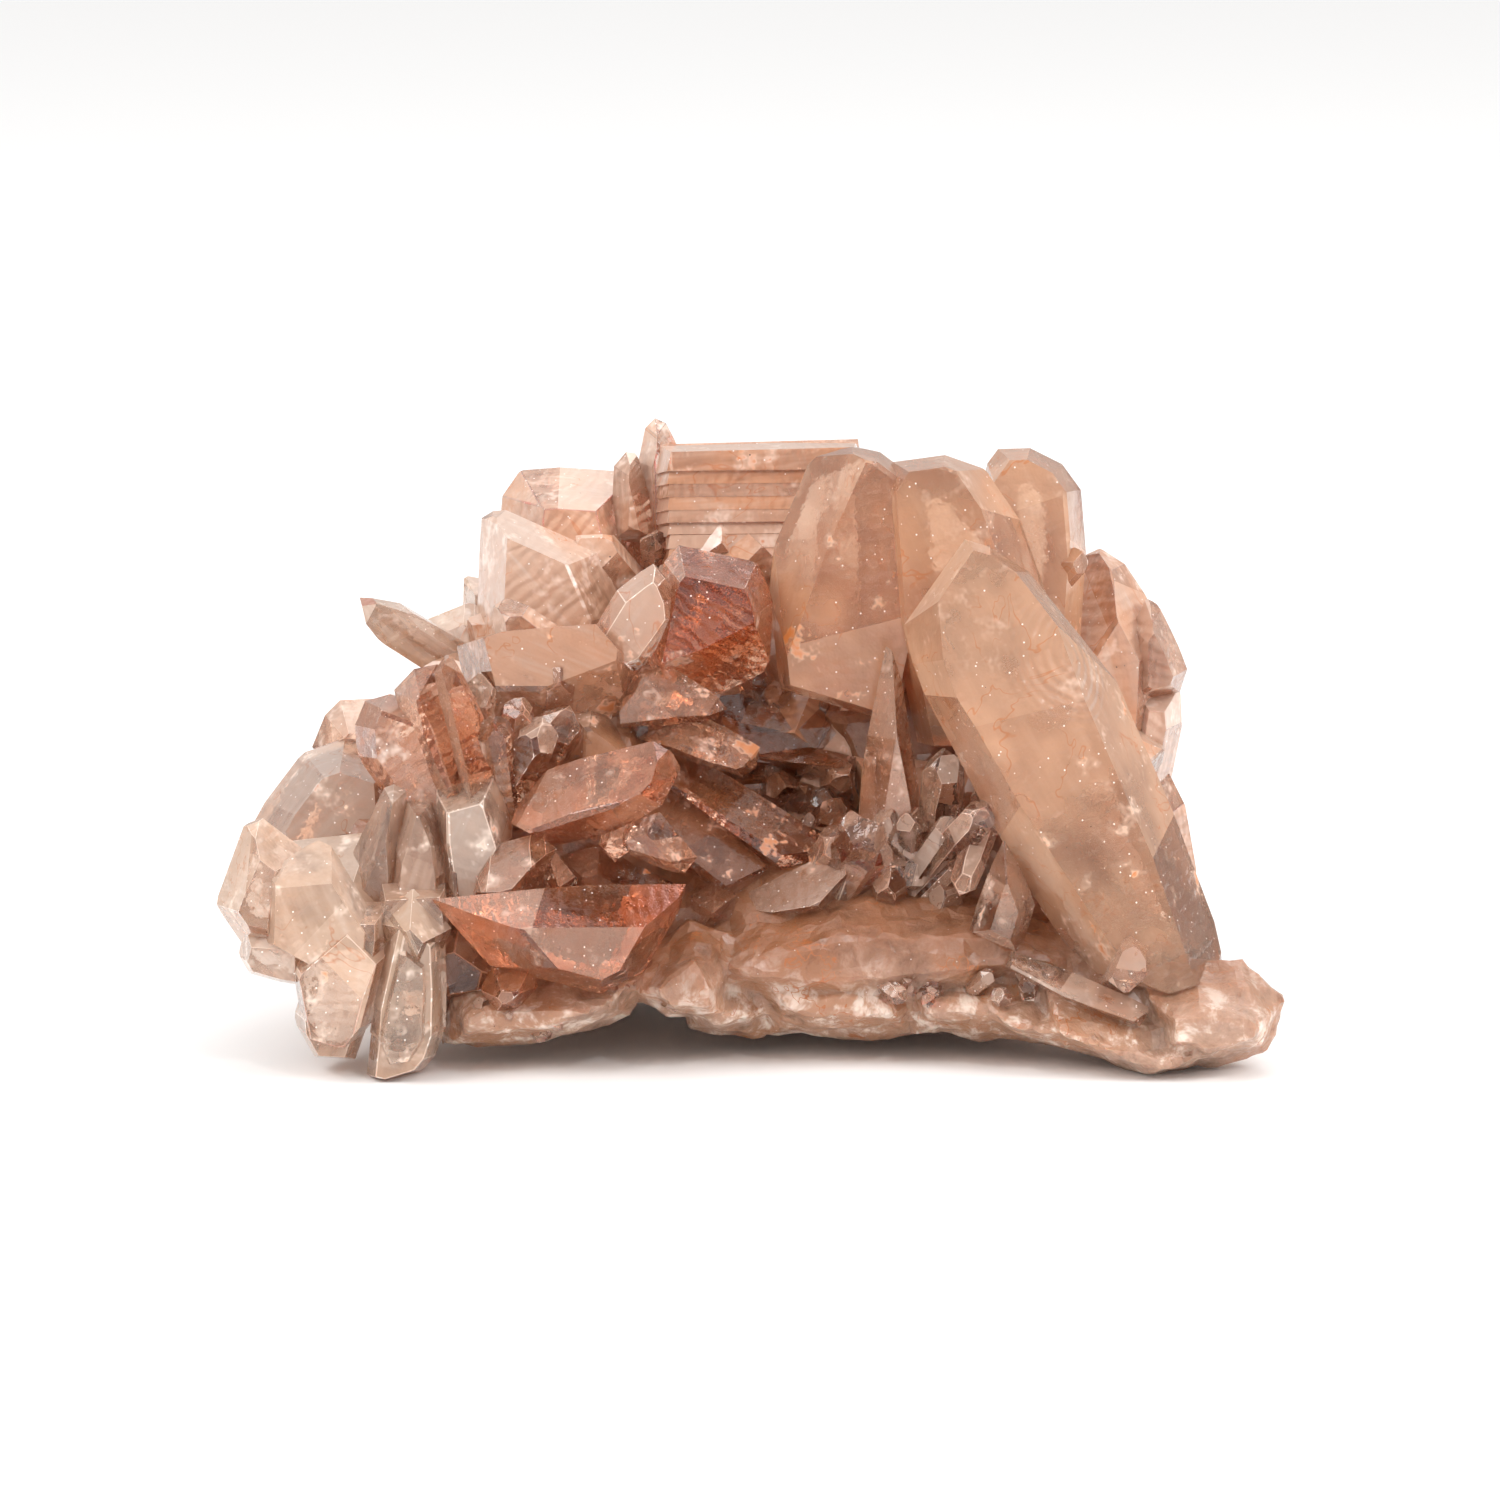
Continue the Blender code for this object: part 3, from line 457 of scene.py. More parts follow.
def crystal_axes(tip, root, turn):
    """Axes of a crystal along root to tip, with one side face to the viewer but for the turn."""
    along = (tip - root).normalized()
    facing = to_viewer - along * to_viewer.dot(along)
    if facing.length < 0.2:
        facing = Vector((0, 0, 1)) - along * along.z
    facing.normalize()
    facing.rotate(Matrix.Rotation(math.radians(turn), 3, along))
    return Matrix((facing, along.cross(facing), along)).transposed().to_4x4()


PYRAMID_ANGLE = math.radians(51.8)


def point(tip, root, width, depth=None, turn=0.0, taper=0.93, seed=7):
    """A quartz point from root to tip: a six-sided prism under six pyramid faces."""
    depth = depth or width * 0.85
    length = (tip - root).length
    chance = random.Random(seed)
    bpy.ops.mesh.primitive_cone_add(vertices=6, radius1=1, radius2=taper, depth=length)
    piece = bpy.context.object
    flat_to_flat = 2 * math.cos(math.pi / 6)
    # The broad way of the section lies across
    piece.data.transform(Matrix.Diagonal((depth * MM / flat_to_flat, width * MM / 2, 1, 1)))
    piece.data.transform(Matrix.Translation((0, 0, length / 2)))
    bpy.ops.object.mode_set(mode="EDIT")
    larger = chance.randrange(2)
    for face in range(6):
        turned = face * math.tau / 6
        lift = chance.uniform(0.0, 0.1) if face % 2 == larger else chance.uniform(0.12, 0.32)
        normal = Vector((math.cos(turned), math.sin(turned), 0)) * math.sin(PYRAMID_ANGLE)
        normal.z = math.cos(PYRAMID_ANGLE)
        cut((0, 0, length + lift * width * MM), normal)
    bpy.ops.object.mode_set(mode="OBJECT")
    axes = crystal_axes(tip, root, turn)
    piece.data.transform(Matrix.Translation(root) @ axes)
    keep_axes(piece, root, axes.col[2].xyz, axes.col[0].xyz)
    return piece


def worn(crystal, chance, corners, edges, size, tilted):
    """Tilts parts of a crystal's faces a little, and breaks flats off some corners and edges."""
    mesh = crystal.data
    places = [vertex.co.copy() for vertex in mesh.vertices]
    middle = sum(places, Vector()) / len(places)
    cuts = []
    for face in sorted(mesh.polygons, key=lambda one: -one.area)[:tilted]:
        corner = places[chance.choice(list(face.vertices))]
        sideways = face.normal.cross(corner - face.center).normalized()
        turn = Matrix.Rotation(math.radians(chance.uniform(2.5, 7)), 3, sideways)
        normal = turn @ face.normal
        start = face.center.lerp(corner, chance.uniform(-0.2, 0.5))
        cuts.append((start, normal))
    for index in chance.sample(range(len(places)), min(corners, len(places))):
        askew = Vector([chance.uniform(-0.4, 0.4) for _ in range(3)])
        normal = ((places[index] - middle).normalized() + askew).normalized()
        top = places[index].dot(normal)
        rest = max(place.dot(normal) for other, place in enumerate(places) if other != index)
        if top > rest:
            depth = min(chance.uniform(0.3, 1.0) * size * MM, 0.6 * (top - rest))
            cuts.append((normal * (top - depth), normal))
    for index in chance.sample(range(len(mesh.edges)), min(edges, len(mesh.edges))):
        ends = list(mesh.edges[index].vertices)
        out = sum((face.normal for face in mesh.polygons if set(ends) <= set(face.vertices)), Vector())
        normal = out.normalized()
        top = min(places[end].dot(normal) for end in ends)
        rest = max(place.dot(normal) for other, place in enumerate(places) if other not in ends)
        if top > rest:
            depth = min(chance.uniform(0.3, 1.0) * size * MM, 0.6 * (top - rest))
            cuts.append((normal * (top - depth), normal))
    bpy.ops.object.select_all(action="DESELECT")
    crystal.select_set(True)
    bpy.context.view_layer.objects.active = crystal
    bpy.ops.object.mode_set(mode="EDIT")
    for start, normal in cuts:
        cut(start, normal)
    bpy.ops.object.mode_set(mode="OBJECT")


def grown_together(name, crystals, body, edge_body, chips=0.35, edge=0.12, tilted=3, worn_at=4,
                   foot=False):
    """Crystals that overlap, with chipped corners and worn edges, made one solid.

    One that reaches the table, foot, is cut level there.
    """
    chance = random.Random(name)
    for crystal in crystals:
        worn(crystal, chance, worn_at, worn_at, chips, tilted)
        mark(crystal, chance)
        crystal.data.materials.clear()
        crystal.data.materials.append(body)
        crystal.data.materials.append(edge_body)
        apply_modifier(crystal, "BEVEL", width=edge * MM, segments=2, limit_method="ANGLE",
                       angle_limit=math.radians(12), material=1, use_clamp_overlap=True)
    others = bpy.data.collections.new(name)
    bpy.context.scene.collection.children.link(others)
    for crystal in crystals[1:]:
        for home in list(crystal.users_collection):
            home.objects.unlink(crystal)
        others.objects.link(crystal)
    cluster = crystals[0]
    cluster.name = name
    if len(crystals) > 1:
        apply_modifier(cluster, "BOOLEAN", operation="UNION", solver="EXACT",
                       operand_type="COLLECTION", collection=others)
    for crystal in crystals[1:]:
        bpy.data.objects.remove(crystal)
    bpy.data.collections.remove(others)
    if foot:
        bpy.ops.object.select_all(action="DESELECT")
        cluster.select_set(True)
        bpy.context.view_layer.objects.active = cluster
        bpy.ops.object.mode_set(mode="EDIT")
        cut((0, 0, 0.03 * MM), (0, 0, -1))
        bpy.ops.object.mode_set(mode="OBJECT")
    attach(cluster, "root")
    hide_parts("quartz_cluster")
    return cluster


def quartz(name, pale, warm, deep, clear, tint, density, rusty=0.7, stain=(0.62, 0.19, 0.04, 1),
           lined=0.15, satin=0.1, frosted=0.0, painted_highlight=0.3, veins=0.3, streaky=0.15, soft=0.0,
           clear_foot=0.0, face_light_spread=1.0, ripples=None):
    """Quartz that is part clear and part milky, under a glassy skin.

    pale, warm and deep are its milky colours, clear the share that light goes straight through,
    tint and density what it loses inside, rusty where rust begins, lined how deep the growth
    lines are, frosted the share that is chipped white, whiter how much painted highlight whitens
    the faces with the most painted light, veins how strongly the cracks inside show, streaky how
    strongly the streaks along it do, soft how far light spreads in the milky part, clear_foot how
    much clearer the lower half is, uneven how far the painted light of its faces differs, and
    ripples the middle of a shell-shaped break.
    """
    finish = Finish(name)
    where = finish.place()
    painted_light, own, height = finish.facet()
    painted_light = (painted_light - 0.5) * face_light_spread + 0.5
    broad = finish.noise(where, 8, 2, 0.6)
    streak = finish.noise(finish.grain((1, 1, 0.12)), 1.2, 2, 0.6)
    colour = finish.mixed((broad + own * 0.4 - 0.2).step(0.3, 0.7), pale, warm)
    # Painted shade: faces with little painted light take the deep colour; the colour also deepens towards
    # the foot of each crystal
    low = (height + broad * 0.6).step(0.65, 0.25) * 0.5
    colour = finish.mixed((low + painted_light.step(0.3, 0.05) * 0.7).step(0.0, 1.3), colour, deep)
    # Painted highlight: faces with the most painted light are whitened, along with the real white streaks
    # along the axis
    highlight_and_streaks = painted_light.step(0.5, 0.9) * painted_highlight + streak.step(0.5, 0.75) * streaky
    colour = finish.mixed(highlight_and_streaks, colour, WHITE)
    # Painted shade: the nearer the hollow in the middle, where the crystals shade each other, the deeper
    # the colour
    hollow = finish.node("ShaderNodeVectorMath", {"operation": "DISTANCE"},
                         {0: where, 1: (-0.002, -0.006, 0.029)}, out="Value")
    hollow_shade_and_rust = (hollow + broad * 0.012).step(0.036, 0.014)
    colour = finish.mixed(hollow_shade_and_rust * 0.75, colour, deep)
    # Wisps of white inside, and rust that has crept in from the root and along cracks
    cloudy = finish.noise(where, 3.6, 3, 0.72)
    white = cloudy.step(0.52, 0.74) * broad.step(0.58, 0.46) * veins
    colour = finish.mixed(white, colour, (0.95, 0.86, 0.79, 1))
    crack = abs(finish.noise(where, 7, 3, 0.6, 0.5) - 0.5).step(0.012, 0.001) * broad.step(0.44, 0.56)
    rust = (cloudy - height * 0.1 + hollow_shade_and_rust * 0.07).step(rusty, rusty + 0.14)
    colour = finish.mixed((rust + crack * 0.7).step(0.0, 1.25), colour, stain)
    # White specks: real dust, and painted glints; dark ones are real specks
    dust_and_glints, dark = finish.specks(where, 0.8, 0.2, 0.45, 0.03)
    colour = finish.mixed(dark, colour, DARK)
    fine = finish.noise(where, 1.1, 2, 0.7)
    chip = fine.step(0.74 - frosted, 0.82 - frosted)
    colour = finish.mixed((dust_and_glints * 0.8 + chip * 0.7).step(0, 1), colour, (0.93, 0.87, 0.83, 1))
    # Growth lines run across the axis
    lines = finish.node("ShaderNodeTexWave", {"bands_direction": "Z"}, {
        "Vector": finish.grain(), "Scale": 260.0, "Distortion": 4.0, "Detail": 1.0,
        "Detail Scale": 1.5})
    height_map = lines * lined + fine * 0.5 + broad * 2.2
    if ripples:
        near = finish.node("ShaderNodeVectorMath", {"operation": "DISTANCE"}, {0: where, 1: ripples},
                           out="Value")
        rings = finish.node("ShaderNodeTexWave", {"wave_type": "RINGS", "rings_direction": "SPHERICAL"}, {
            "Vector": finish.place(offset=-Vector(ripples)), "Scale": 330.0, "Distortion": 1.5,
            "Detail": 1.0})
        height_map = height_map + rings * near.step(0.009, 0.006) * 0.6
    bump = finish.node("ShaderNodeBump", {}, {"Strength": 0.7, "Distance": 0.0003,
                                              "Height": height_map})
    milky = finish.node("ShaderNodeBsdfPrincipled", {}, {
        "Base Color": colour, "Roughness": 0.35, "Normal": bump, "IOR": 1.54,
        "Coat Weight": 0.9, "Coat Roughness": satin, "Coat IOR": 1.54,
        "Subsurface Weight": soft, "Subsurface Radius": (1.0, 0.55, 0.4),
        "Subsurface Scale": 0.0025,
    })
    glass = finish.node("ShaderNodeBsdfPrincipled", {}, {
        "Base Color": (1.0, 1.0, 1.0, 1), "Roughness": satin, "Normal": bump, "IOR": 1.54,
        "Transmission Weight": 1.0,
    })
    # Faces with more painted light are also milkier
    cloud = (painted_light * 0.5 + broad * 0.4 + streak * streaky).step(0.3, 0.65) * 0.4 + 0.68 - clear
    cloud = cloud - (height + broad * 0.3).step(0.62, 0.5) * clear_foot
    cloud = (cloud + rust + dust_and_glints + chip + dark + white * 0.8).step(0.0, 1.0)
    surface = finish.node("ShaderNodeMixShader", {}, {"Fac": cloud, 1: glass, 2: milky})
    volume = finish.node("ShaderNodeVolumeAbsorption", {}, {"Color": tint, "Density": density})
    return finish.done(surface, volume)


PEACH_TINT = (1.0, 0.69, 0.44, 1)
white_quartz = quartz("white_quartz", (0.80, 0.60, 0.47, 1), (0.76, 0.50, 0.34, 1),
                      (0.70, 0.37, 0.20, 1), 0.5, PEACH_TINT, 62, rusty=0.6, painted_highlight=0.4,
                      streaky=0.2, veins=0.5, face_light_spread=0.7)
white_edge = quartz("white_edge", (0.82, 0.68, 0.57, 1), (0.78, 0.58, 0.45, 1),
                    (0.72, 0.44, 0.29, 1), 0.25, PEACH_TINT, 60, frosted=0.16, painted_highlight=0.4)

grown_together("white_twin", [
    faceted([(-48.3, 21.1), (-43.1, 24.8), (-41.9, 23.6), (-36.9, 16.1), (-37.3, 10.9),
             (-41.9, 10.2), (-48.6, 14)], 10, 10, 15, 30, facets=[((-48.5, 18.8), (-39.7, 20), 30)]),
    faceted([(-53.5, 17.8), (-50.5, 26), (-49, 26.6), (-44, 22.8), (-46, 13), (-50.9, 14)],
            13, 11, 24),
    faceted([(-51.2, 12.6), (-50.2, 10.9), (-47, 10), (-44, 9.5), (-44, 15), (-50.5, 15.5)],
            11, 8, 16),
    faceted([(-37.3, 14.7), (-36.3, 17), (-33.7, 19.4), (-29.8, 15.4), (-31.3, 12), (-33, 8.5),
             (-34.6, 8.5)], 8, 10, 24, facets=[((-33, 12), (-34.5, 15.5), 30)]),
    faceted([(-47, 24), (-38, 25), (-33, 20), (-34, 12), (-46, 13)], 20, 18, 24),
    # The two feet, which the twin runs down into
    faceted([(-48.4, 11), (-45.7, 6.3), (-46.2, 4.6), (-45.1, 3.2), (-43.3, 2.5), (-39.3, 2.3),
             (-38.5, 5), (-36, 12), (-36, 18), (-47, 18)], 10.5, 10, 14),
    faceted([(-46, 12), (-44.5, 4.5), (-40, 3.2), (-37.8, 6), (-36, 13), (-40, 17)], 9.5, 10, 12),
    faceted([(-39.3, 1.5), (-38, 0.5), (-36.2, 0.1), (-32.7, 1.2), (-31.4, 2.7), (-30.4, 5.5),
             (-30.3, 10), (-30.5, 15), (-33, 18), (-37, 17), (-37.8, 8.2)], 9, 10, 14),
    faceted([(-38, 5), (-36.5, 1.5), (-33.2, 2), (-31.2, 5), (-31, 13), (-35, 16), (-37, 12)],
            8.5, 11, 14),
    faceted([(-38, 16), (-31, 17), (-28, 10), (-30, 5), (-37, 4)], 15, 14, 20),
], white_quartz, white_edge, foot=True)


# ---- Left shoulder ----
# Milky points and flat blades behind the twin, which step up to the back and lean out to the left.

peach_quartz = quartz("peach_quartz", (0.74, 0.50, 0.37, 1), (0.70, 0.40, 0.25, 1),
                      (0.62, 0.27, 0.12, 1), 0.58, PEACH_TINT, 110, rusty=0.58, painted_highlight=0.45,
                      streaky=0.3, veins=0.4, face_light_spread=0.8)
peach_edge = quartz("peach_edge", (0.78, 0.58, 0.46, 1), (0.74, 0.50, 0.36, 1),
                    (0.66, 0.34, 0.18, 1), 0.35, PEACH_TINT, 100, frosted=0.14, painted_highlight=0.4)
grown_together("left_shoulder", [
    faceted([(-51, 24.7), (-48.5, 28), (-47, 30.7), (-44.5, 33), (-40.5, 34.3), (-33, 32),
             (-32, 20), (-48, 18)], 32, 20, 24, slant=(0, 0.3)),
    faceted([(-44, 33), (-42.5, 36.7), (-41, 38.2), (-36.5, 38.4), (-34, 32)], 38, 10),
    faceted([(-39.7, 23), (-36.6, 29.4), (-35.6, 29.8), (-34.3, 29.2), (-34, 25), (-35.5, 14),
             (-40.3, 15)], 17, 9, [26, 26, 26, 26, 16, 10, 16]),
    faceted([(-35.8, 24), (-34.4, 28.3), (-31.6, 28.3), (-29.8, 24), (-29.2, 20), (-30, 13),
             (-36.8, 13)], 16, 12, [18, 18, 18, 18, 14, 8, 14], slant=(0, 0.2)),
    faceted([(-31.6, 29.3), (-25.4, 31), (-23.4, 24.7), (-26.5, 18), (-30.5, 17.5),
             (-31.5, 24.5)], 16, 10, [20, 20, 16, 8, 16, 16]),
    faceted([(-36.8, 19.8), (-30.2, 20.2), (-29.6, 15.7), (-31, 14), (-35, 13.5), (-37.2, 17.7)],
            12, 10, 8),
    faceted([(-31, 23.5), (-28, 22.5), (-27.5, 18), (-31, 16.5)], 14, 9, 24),
], peach_quartz, peach_edge)

satin_quartz = quartz("satin_quartz", (0.63, 0.35, 0.205, 1), (0.60, 0.31, 0.165, 1),
                      (0.58, 0.28, 0.14, 1), 0.36, PEACH_TINT, 120, rusty=0.6, satin=0.16,
                      lined=0.08, painted_highlight=0.12, veins=0.2, streaky=0.05, face_light_spread=0.4)
satin_edge = quartz("satin_edge", (0.70, 0.46, 0.32, 1), (0.66, 0.40, 0.26, 1),
                    (0.60, 0.32, 0.18, 1), 0.2, PEACH_TINT, 100, satin=0.2, frosted=0.26,
                    painted_highlight=0.3)
grown_together("sky_blades", [
    faceted([(-38.8, 47.6), (-37.8, 48.4), (-35, 47.9), (-31, 45.7), (-24, 41), (-25, 37),
             (-32, 40.7), (-36.5, 43.4), (-38.4, 45.8)], 37, 8, [0, 8, 8, 8, 0, 30, 38, 38, 20],
            slant=(0.5, 0)),
    faceted([(-41.2, 43.9), (-40.4, 44.5), (-37, 43.8), (-30, 39), (-31, 34), (-39.5, 37.6),
             (-40.2, 40.5)], 41, 9, slant=(0.3, 0)),
    faceted([(-29.3, 50), (-28.2, 50.6), (-26, 50.2), (-25, 42), (-29, 42), (-28.8, 48)], 49, 6),
    faceted([(-33, 46), (-28, 48), (-24, 46), (-24, 38), (-31, 40)], 46, 6),
], white_quartz, white_edge)


# ---- Left prisms ----
# Dark clear prisms side by side over the shoulder, finely lined across, with rust on their ends.

BROWN_TINT = (1.0, 0.63, 0.35, 1)
brown_quartz = quartz("brown_quartz", (0.66, 0.38, 0.24, 1), (0.58, 0.26, 0.13, 1),
                      (0.42, 0.125, 0.036, 1), 0.62, BROWN_TINT, 115, rusty=0.62, lined=0.3,
                      satin=0.05, painted_highlight=0.4, veins=0.5)
brown_edge = quartz("brown_edge", (0.72, 0.46, 0.33, 1), (0.66, 0.36, 0.22, 1),
                    (0.50, 0.20, 0.085, 1), 0.42, BROWN_TINT, 140, rusty=0.62, satin=0.08,
                    frosted=0.16, painted_highlight=0.5)
grown_together("left_prisms", [
    faceted([(-38.5, 38.1), (-36, 38.8), (-31, 37), (-28, 27), (-33, 26), (-37.1, 29.5),
             (-39.3, 32.6), (-39.5, 35.7)], 22, 10, [10, 10, 10, 0, 20, 32, 34, 30],
            slant=(-0.2, 0)),
    faceted([(-35.6, 39.2), (-33.6, 41.3), (-31.2, 41.8), (-29.5, 39.5), (-25.5, 27), (-31, 26.5),
             (-34, 33)], 19, 10, slant=(-0.1, 0.1)),
    faceted([(-31.6, 41), (-30.4, 42.8), (-29.4, 42.4), (-28.3, 40.5), (-24.6, 31.5), (-25, 28),
             (-29, 27)], 17, 9, [10, 10, 30, 36, 36, 10, 20], slant=(0, 0.1)),
    point(seen_at(-25.8, 36.5, 15), seen_at(-24.5, 27, 18), 4.2, seed=11),
    point(seen_at(-23.0, 38.5, 17), seen_at(-24.0, 29, 20), 3.6, turn=25, seed=12),
    point(seen_at(-20.5, 36.0, 16), seen_at(-25.5, 27, 20), 5.2, turn=-15, seed=13),
    point(seen_at(-18.0, 37.3, 18), seen_at(-22.0, 31, 22), 5.6, turn=20, seed=14),
    point(seen_at(-27.0, 41.0, 19), seen_at(-25.5, 30, 24), 5.5, turn=-20, seed=15),
    point(seen_at(-19.0, 41.5, 19), seen_at(-20.0, 33, 26), 4.4, turn=10, seed=16),
], brown_quartz, brown_edge)


# ---- Middle crest ----
# A rough pale crest, a glassy broken point that stands on it and a smoky brown one beside it.

crest_quartz = quartz("crest_quartz", (0.74, 0.48, 0.34, 1), (0.70, 0.36, 0.21, 1),
                      (0.60, 0.24, 0.10, 1), 0.55, BROWN_TINT, 80, rusty=0.6, satin=0.1,
                      painted_highlight=0.4, veins=0.4, streaky=0.25)
grown_together("middle_crest", [
    faceted([(-29.5, 43.5), (-24.5, 45.2), (-20, 45.5), (-14.5, 46), (-11, 42), (-12, 36),
             (-20, 33), (-27, 33)], 27, 16, [14, 14, 14, 14, 14, 30, 30, 20], slant=(0, 0.4)),
    faceted([(-19.5, 38.5), (-15.5, 39.4), (-11.5, 36.5), (-10.2, 32), (-15, 29), (-20, 30)],
            26, 12, [24, 30, 24, 20, 10, 20], slant=(0.2, 0)),
    faceted([(-9.4, 52), (-11, 51), (-13.3, 49.2), (-16, 44.8), (-16.5, 42), (-11, 41),
             (-8.2, 44.9), (-7.2, 46.4), (-7.4, 48.6), (-8.2, 50.6)], 25, 6, 22),
], crest_quartz, white_edge)
grown_together("smoky_point", [
    faceted([(-7.1, 53.7), (0.7, 52), (1.6, 50.2), (2.3, 48), (1.9, 40.3), (-2.6, 38.2), (-9, 38),
             (-11, 44), (-8.6, 52)], 30, 15, 14, 34, facets=[((2.4, 47), (-6.5, 42.4), 36)]),
    faceted([(-13, 39), (-10.8, 41.7), (-8, 41.6), (-3.5, 38.8), (-2.3, 37.3), (-3.7, 36),
             (-12.7, 35)], 24, 8, [20, 20, 38, 34, 20, 20, 10], slant=(-0.2, 0)),
    faceted([(-11, 36), (-6.2, 37.2), (-2.1, 35.4), (1, 33.5), (0.6, 31.4), (-1.2, 30.2),
             (-4, 31.3), (-11, 33)], 24, 8, [34, 34, 34, 20, 20, 20, 20, 0], slant=(-0.1, 0)),
], brown_quartz, brown_edge)


# ---- Bay ----
# Dark slanting prisms that line the hollow in the middle, with rust where they meet.

amber_quartz = quartz("amber_quartz", (0.64, 0.30, 0.16, 1), (0.58, 0.20, 0.075, 1),
                      (0.46, 0.13, 0.035, 1), 0.68, (1.0, 0.56, 0.26, 1), 110, rusty=0.62,
                      satin=0.04, painted_highlight=0.3, veins=0.35, face_light_spread=0.8)
amber_edge = quartz("amber_edge", (0.70, 0.42, 0.28, 1), (0.64, 0.30, 0.16, 1),
                    (0.50, 0.16, 0.055, 1), 0.42, (1.0, 0.58, 0.28, 1), 170, rusty=0.6,
                    satin=0.06, frosted=0.16, painted_highlight=0.45)
grown_together("bay_prisms", [
    faceted([(-3, 38.6), (7.9, 39.8), (10.5, 37.3), (13, 35), (13, 31), (0, 32), (-4, 35)],
            38, 10, [34, 30, 20, 10, 10, 10, 10], slant=(0.1, 0)),
    faceted([(0.5, 34.5), (10.7, 32.6), (10.6, 31), (7.9, 30.6), (0.5, 31.8)], 33, 5, 26,
            slant=(-0.3, 0)),
    faceted([(-3, 32), (4, 32.5), (12, 31), (11, 27.5), (5, 26), (-2, 27)], 37, 10, 20),
    point(seen_at(9.8, 26.8, 26), seen_at(6.5, 24, 34), 5.5, seed=17),
    point(seen_at(3.5, 26.5, 30), seen_at(0.0, 22, 38), 6.0, turn=20, seed=18),
    faceted([(-8.5, 33.8), (-6, 33), (8.5, 24), (6.5, 21.5), (3.5, 20.5), (-9.5, 29.5)],
            24, 9, [10, 30, 34, 20, 24, 24], slant=(-0.25, 0)),
    faceted([(-11.5, 27), (-8, 29.4), (2.0, 21.8), (-0.5, 18.2), (-3, 18.6), (-11, 24)],
            22, 9, [10, 34, 20, 20, 28, 10], slant=(-0.35, 0)),
    faceted([(-6.3, 18.5), (-3.4, 20.4), (-1.3, 18.7), (-1.8, 16.2), (-5, 15)], 17, 10),
    faceted([(-21, 26), (-16, 27), (-5, 19.5), (-6, 15), (-14, 17), (-20, 21)], 24, 10,
            [20, 34, 20, 10, 24, 24], slant=(-0.2, 0)),
    faceted([(-19, 22.5), (-15, 23.8), (-7.5, 19.8), (-8, 17), (-18, 18)], 17, 8, 28),
], amber_quartz, amber_edge)


# ---- Lying points ----
# Two long clear points that lie across the front left, one over the other, with small ones round.

grown_together("lying_points", [
    faceted([(-23.3, 27.6), (-20, 31.6), (-9.7, 34.1), (-8.2, 33.2), (-7.3, 30.6), (-8.8, 27.7),
             (-12.6, 25.4), (-19.5, 23.3), (-23.5, 25.6)], 13, 11,
            [24, 40, 20, 14, 14, 20, 24, 20, 10], slant=(-0.35, 0)),
    faceted([(-27.9, 20.5), (-25.7, 23.8), (-21.3, 24.9), (-19.3, 23.3), (-21.2, 19.2),
             (-27.8, 19)], 12, 10, [20, 38, 28, 28, 10, 10]),
    faceted([(-21, 22.5), (-19.8, 23.8), (-17.2, 20.7), (-17.3, 18.6), (-21, 18.4)], 14, 9),
    point(seen_at(-13.6, 22.3, 12), seen_at(-12.5, 30, 20), 3.6, seed=19),
    faceted([(-13.5, 25.5), (-9, 27), (-5.3, 22.5), (-6.5, 20.9), (-8, 21), (-14, 23.5)],
            15, 6, 26, slant=(-0.3, 0)),
    faceted([(-31.9, 18.3), (-28.8, 19.6), (-6.4, 19.8), (-7.1, 17.1), (-10.6, 11), (-15, 8.8),
             (-26.1, 11.6)], 8, 11, [30, 30, 20, 30, 24, 24, 40], slant=(0.1, 0)),
    faceted([(-33, 15), (-29, 16), (-24, 12.5), (-25, 8), (-32, 7.5)], 14, 9, 24),
    faceted([(-27, 9.2), (-25.7, 11.7), (-22, 11.4), (-21.2, 9.5), (-23, 7.3), (-25.4, 7)],
            7, 9, 20),
], amber_quartz, amber_edge)


# ---- Rim crystals ----
# Small clear crystals along the top of the rim and on the right foot, half sunk in milky quartz.

rosy_quartz = quartz("rosy_quartz", (0.74, 0.47, 0.33, 1), (0.68, 0.34, 0.20, 1),
                     (0.54, 0.19, 0.065, 1), 0.64, BROWN_TINT, 100, rusty=0.63, satin=0.04,
                     painted_highlight=0.4, veins=0.35)
rosy_edge = quartz("rosy_edge", (0.78, 0.56, 0.43, 1), (0.73, 0.44, 0.31, 1),
                   (0.60, 0.29, 0.15, 1), 0.4, BROWN_TINT, 100, rusty=0.62, satin=0.06,
                   frosted=0.1, painted_highlight=0.3)
grown_together("rim_crystals", [
    faceted([(-2, 18.6), (4, 21.3), (9.5, 24), (11, 21), (8, 16.5), (1, 16)], 19, 10,
            [30, 34, 20, 24, 24, 24]),
    point(seen_at(19.6, 33.0, 17), seen_at(18.5, 20, 24), 5.0, turn=15, seed=20),
    point(seen_at(24.0, 27.5, 13), seen_at(17.0, 20, 20), 4.2, turn=30, seed=21),
    point(seen_at(21.0, 18.8, 11), seen_at(23.5, 26, 18), 3.2, seed=22),
    faceted([(25.4, 24.3), (23.6, 20.5), (21.8, 15), (27, 12.5), (28.5, 17.7), (27.3, 21)],
            11, 7, 26),
    faceted([(26.2, 13.3), (37.5, 8.9), (40.1, 7.5), (38.9, 5.4), (31.2, 8.3), (25.5, 11.5)],
            8, 8, [34, 30, 24, 20, 20, 20], slant=(-0.15, 0)),
    faceted([(35.3, 10.5), (36.8, 13.9), (38.2, 14.6), (39.8, 13.6), (39.9, 11), (37.5, 8.8)],
            6, 6, 8),
], rosy_quartz, rosy_edge, edge=0.08)


# ---- Small crystals ----
# Small clear points that line the hollows between the large ones, out of the same quartz.

chance = random.Random(3)
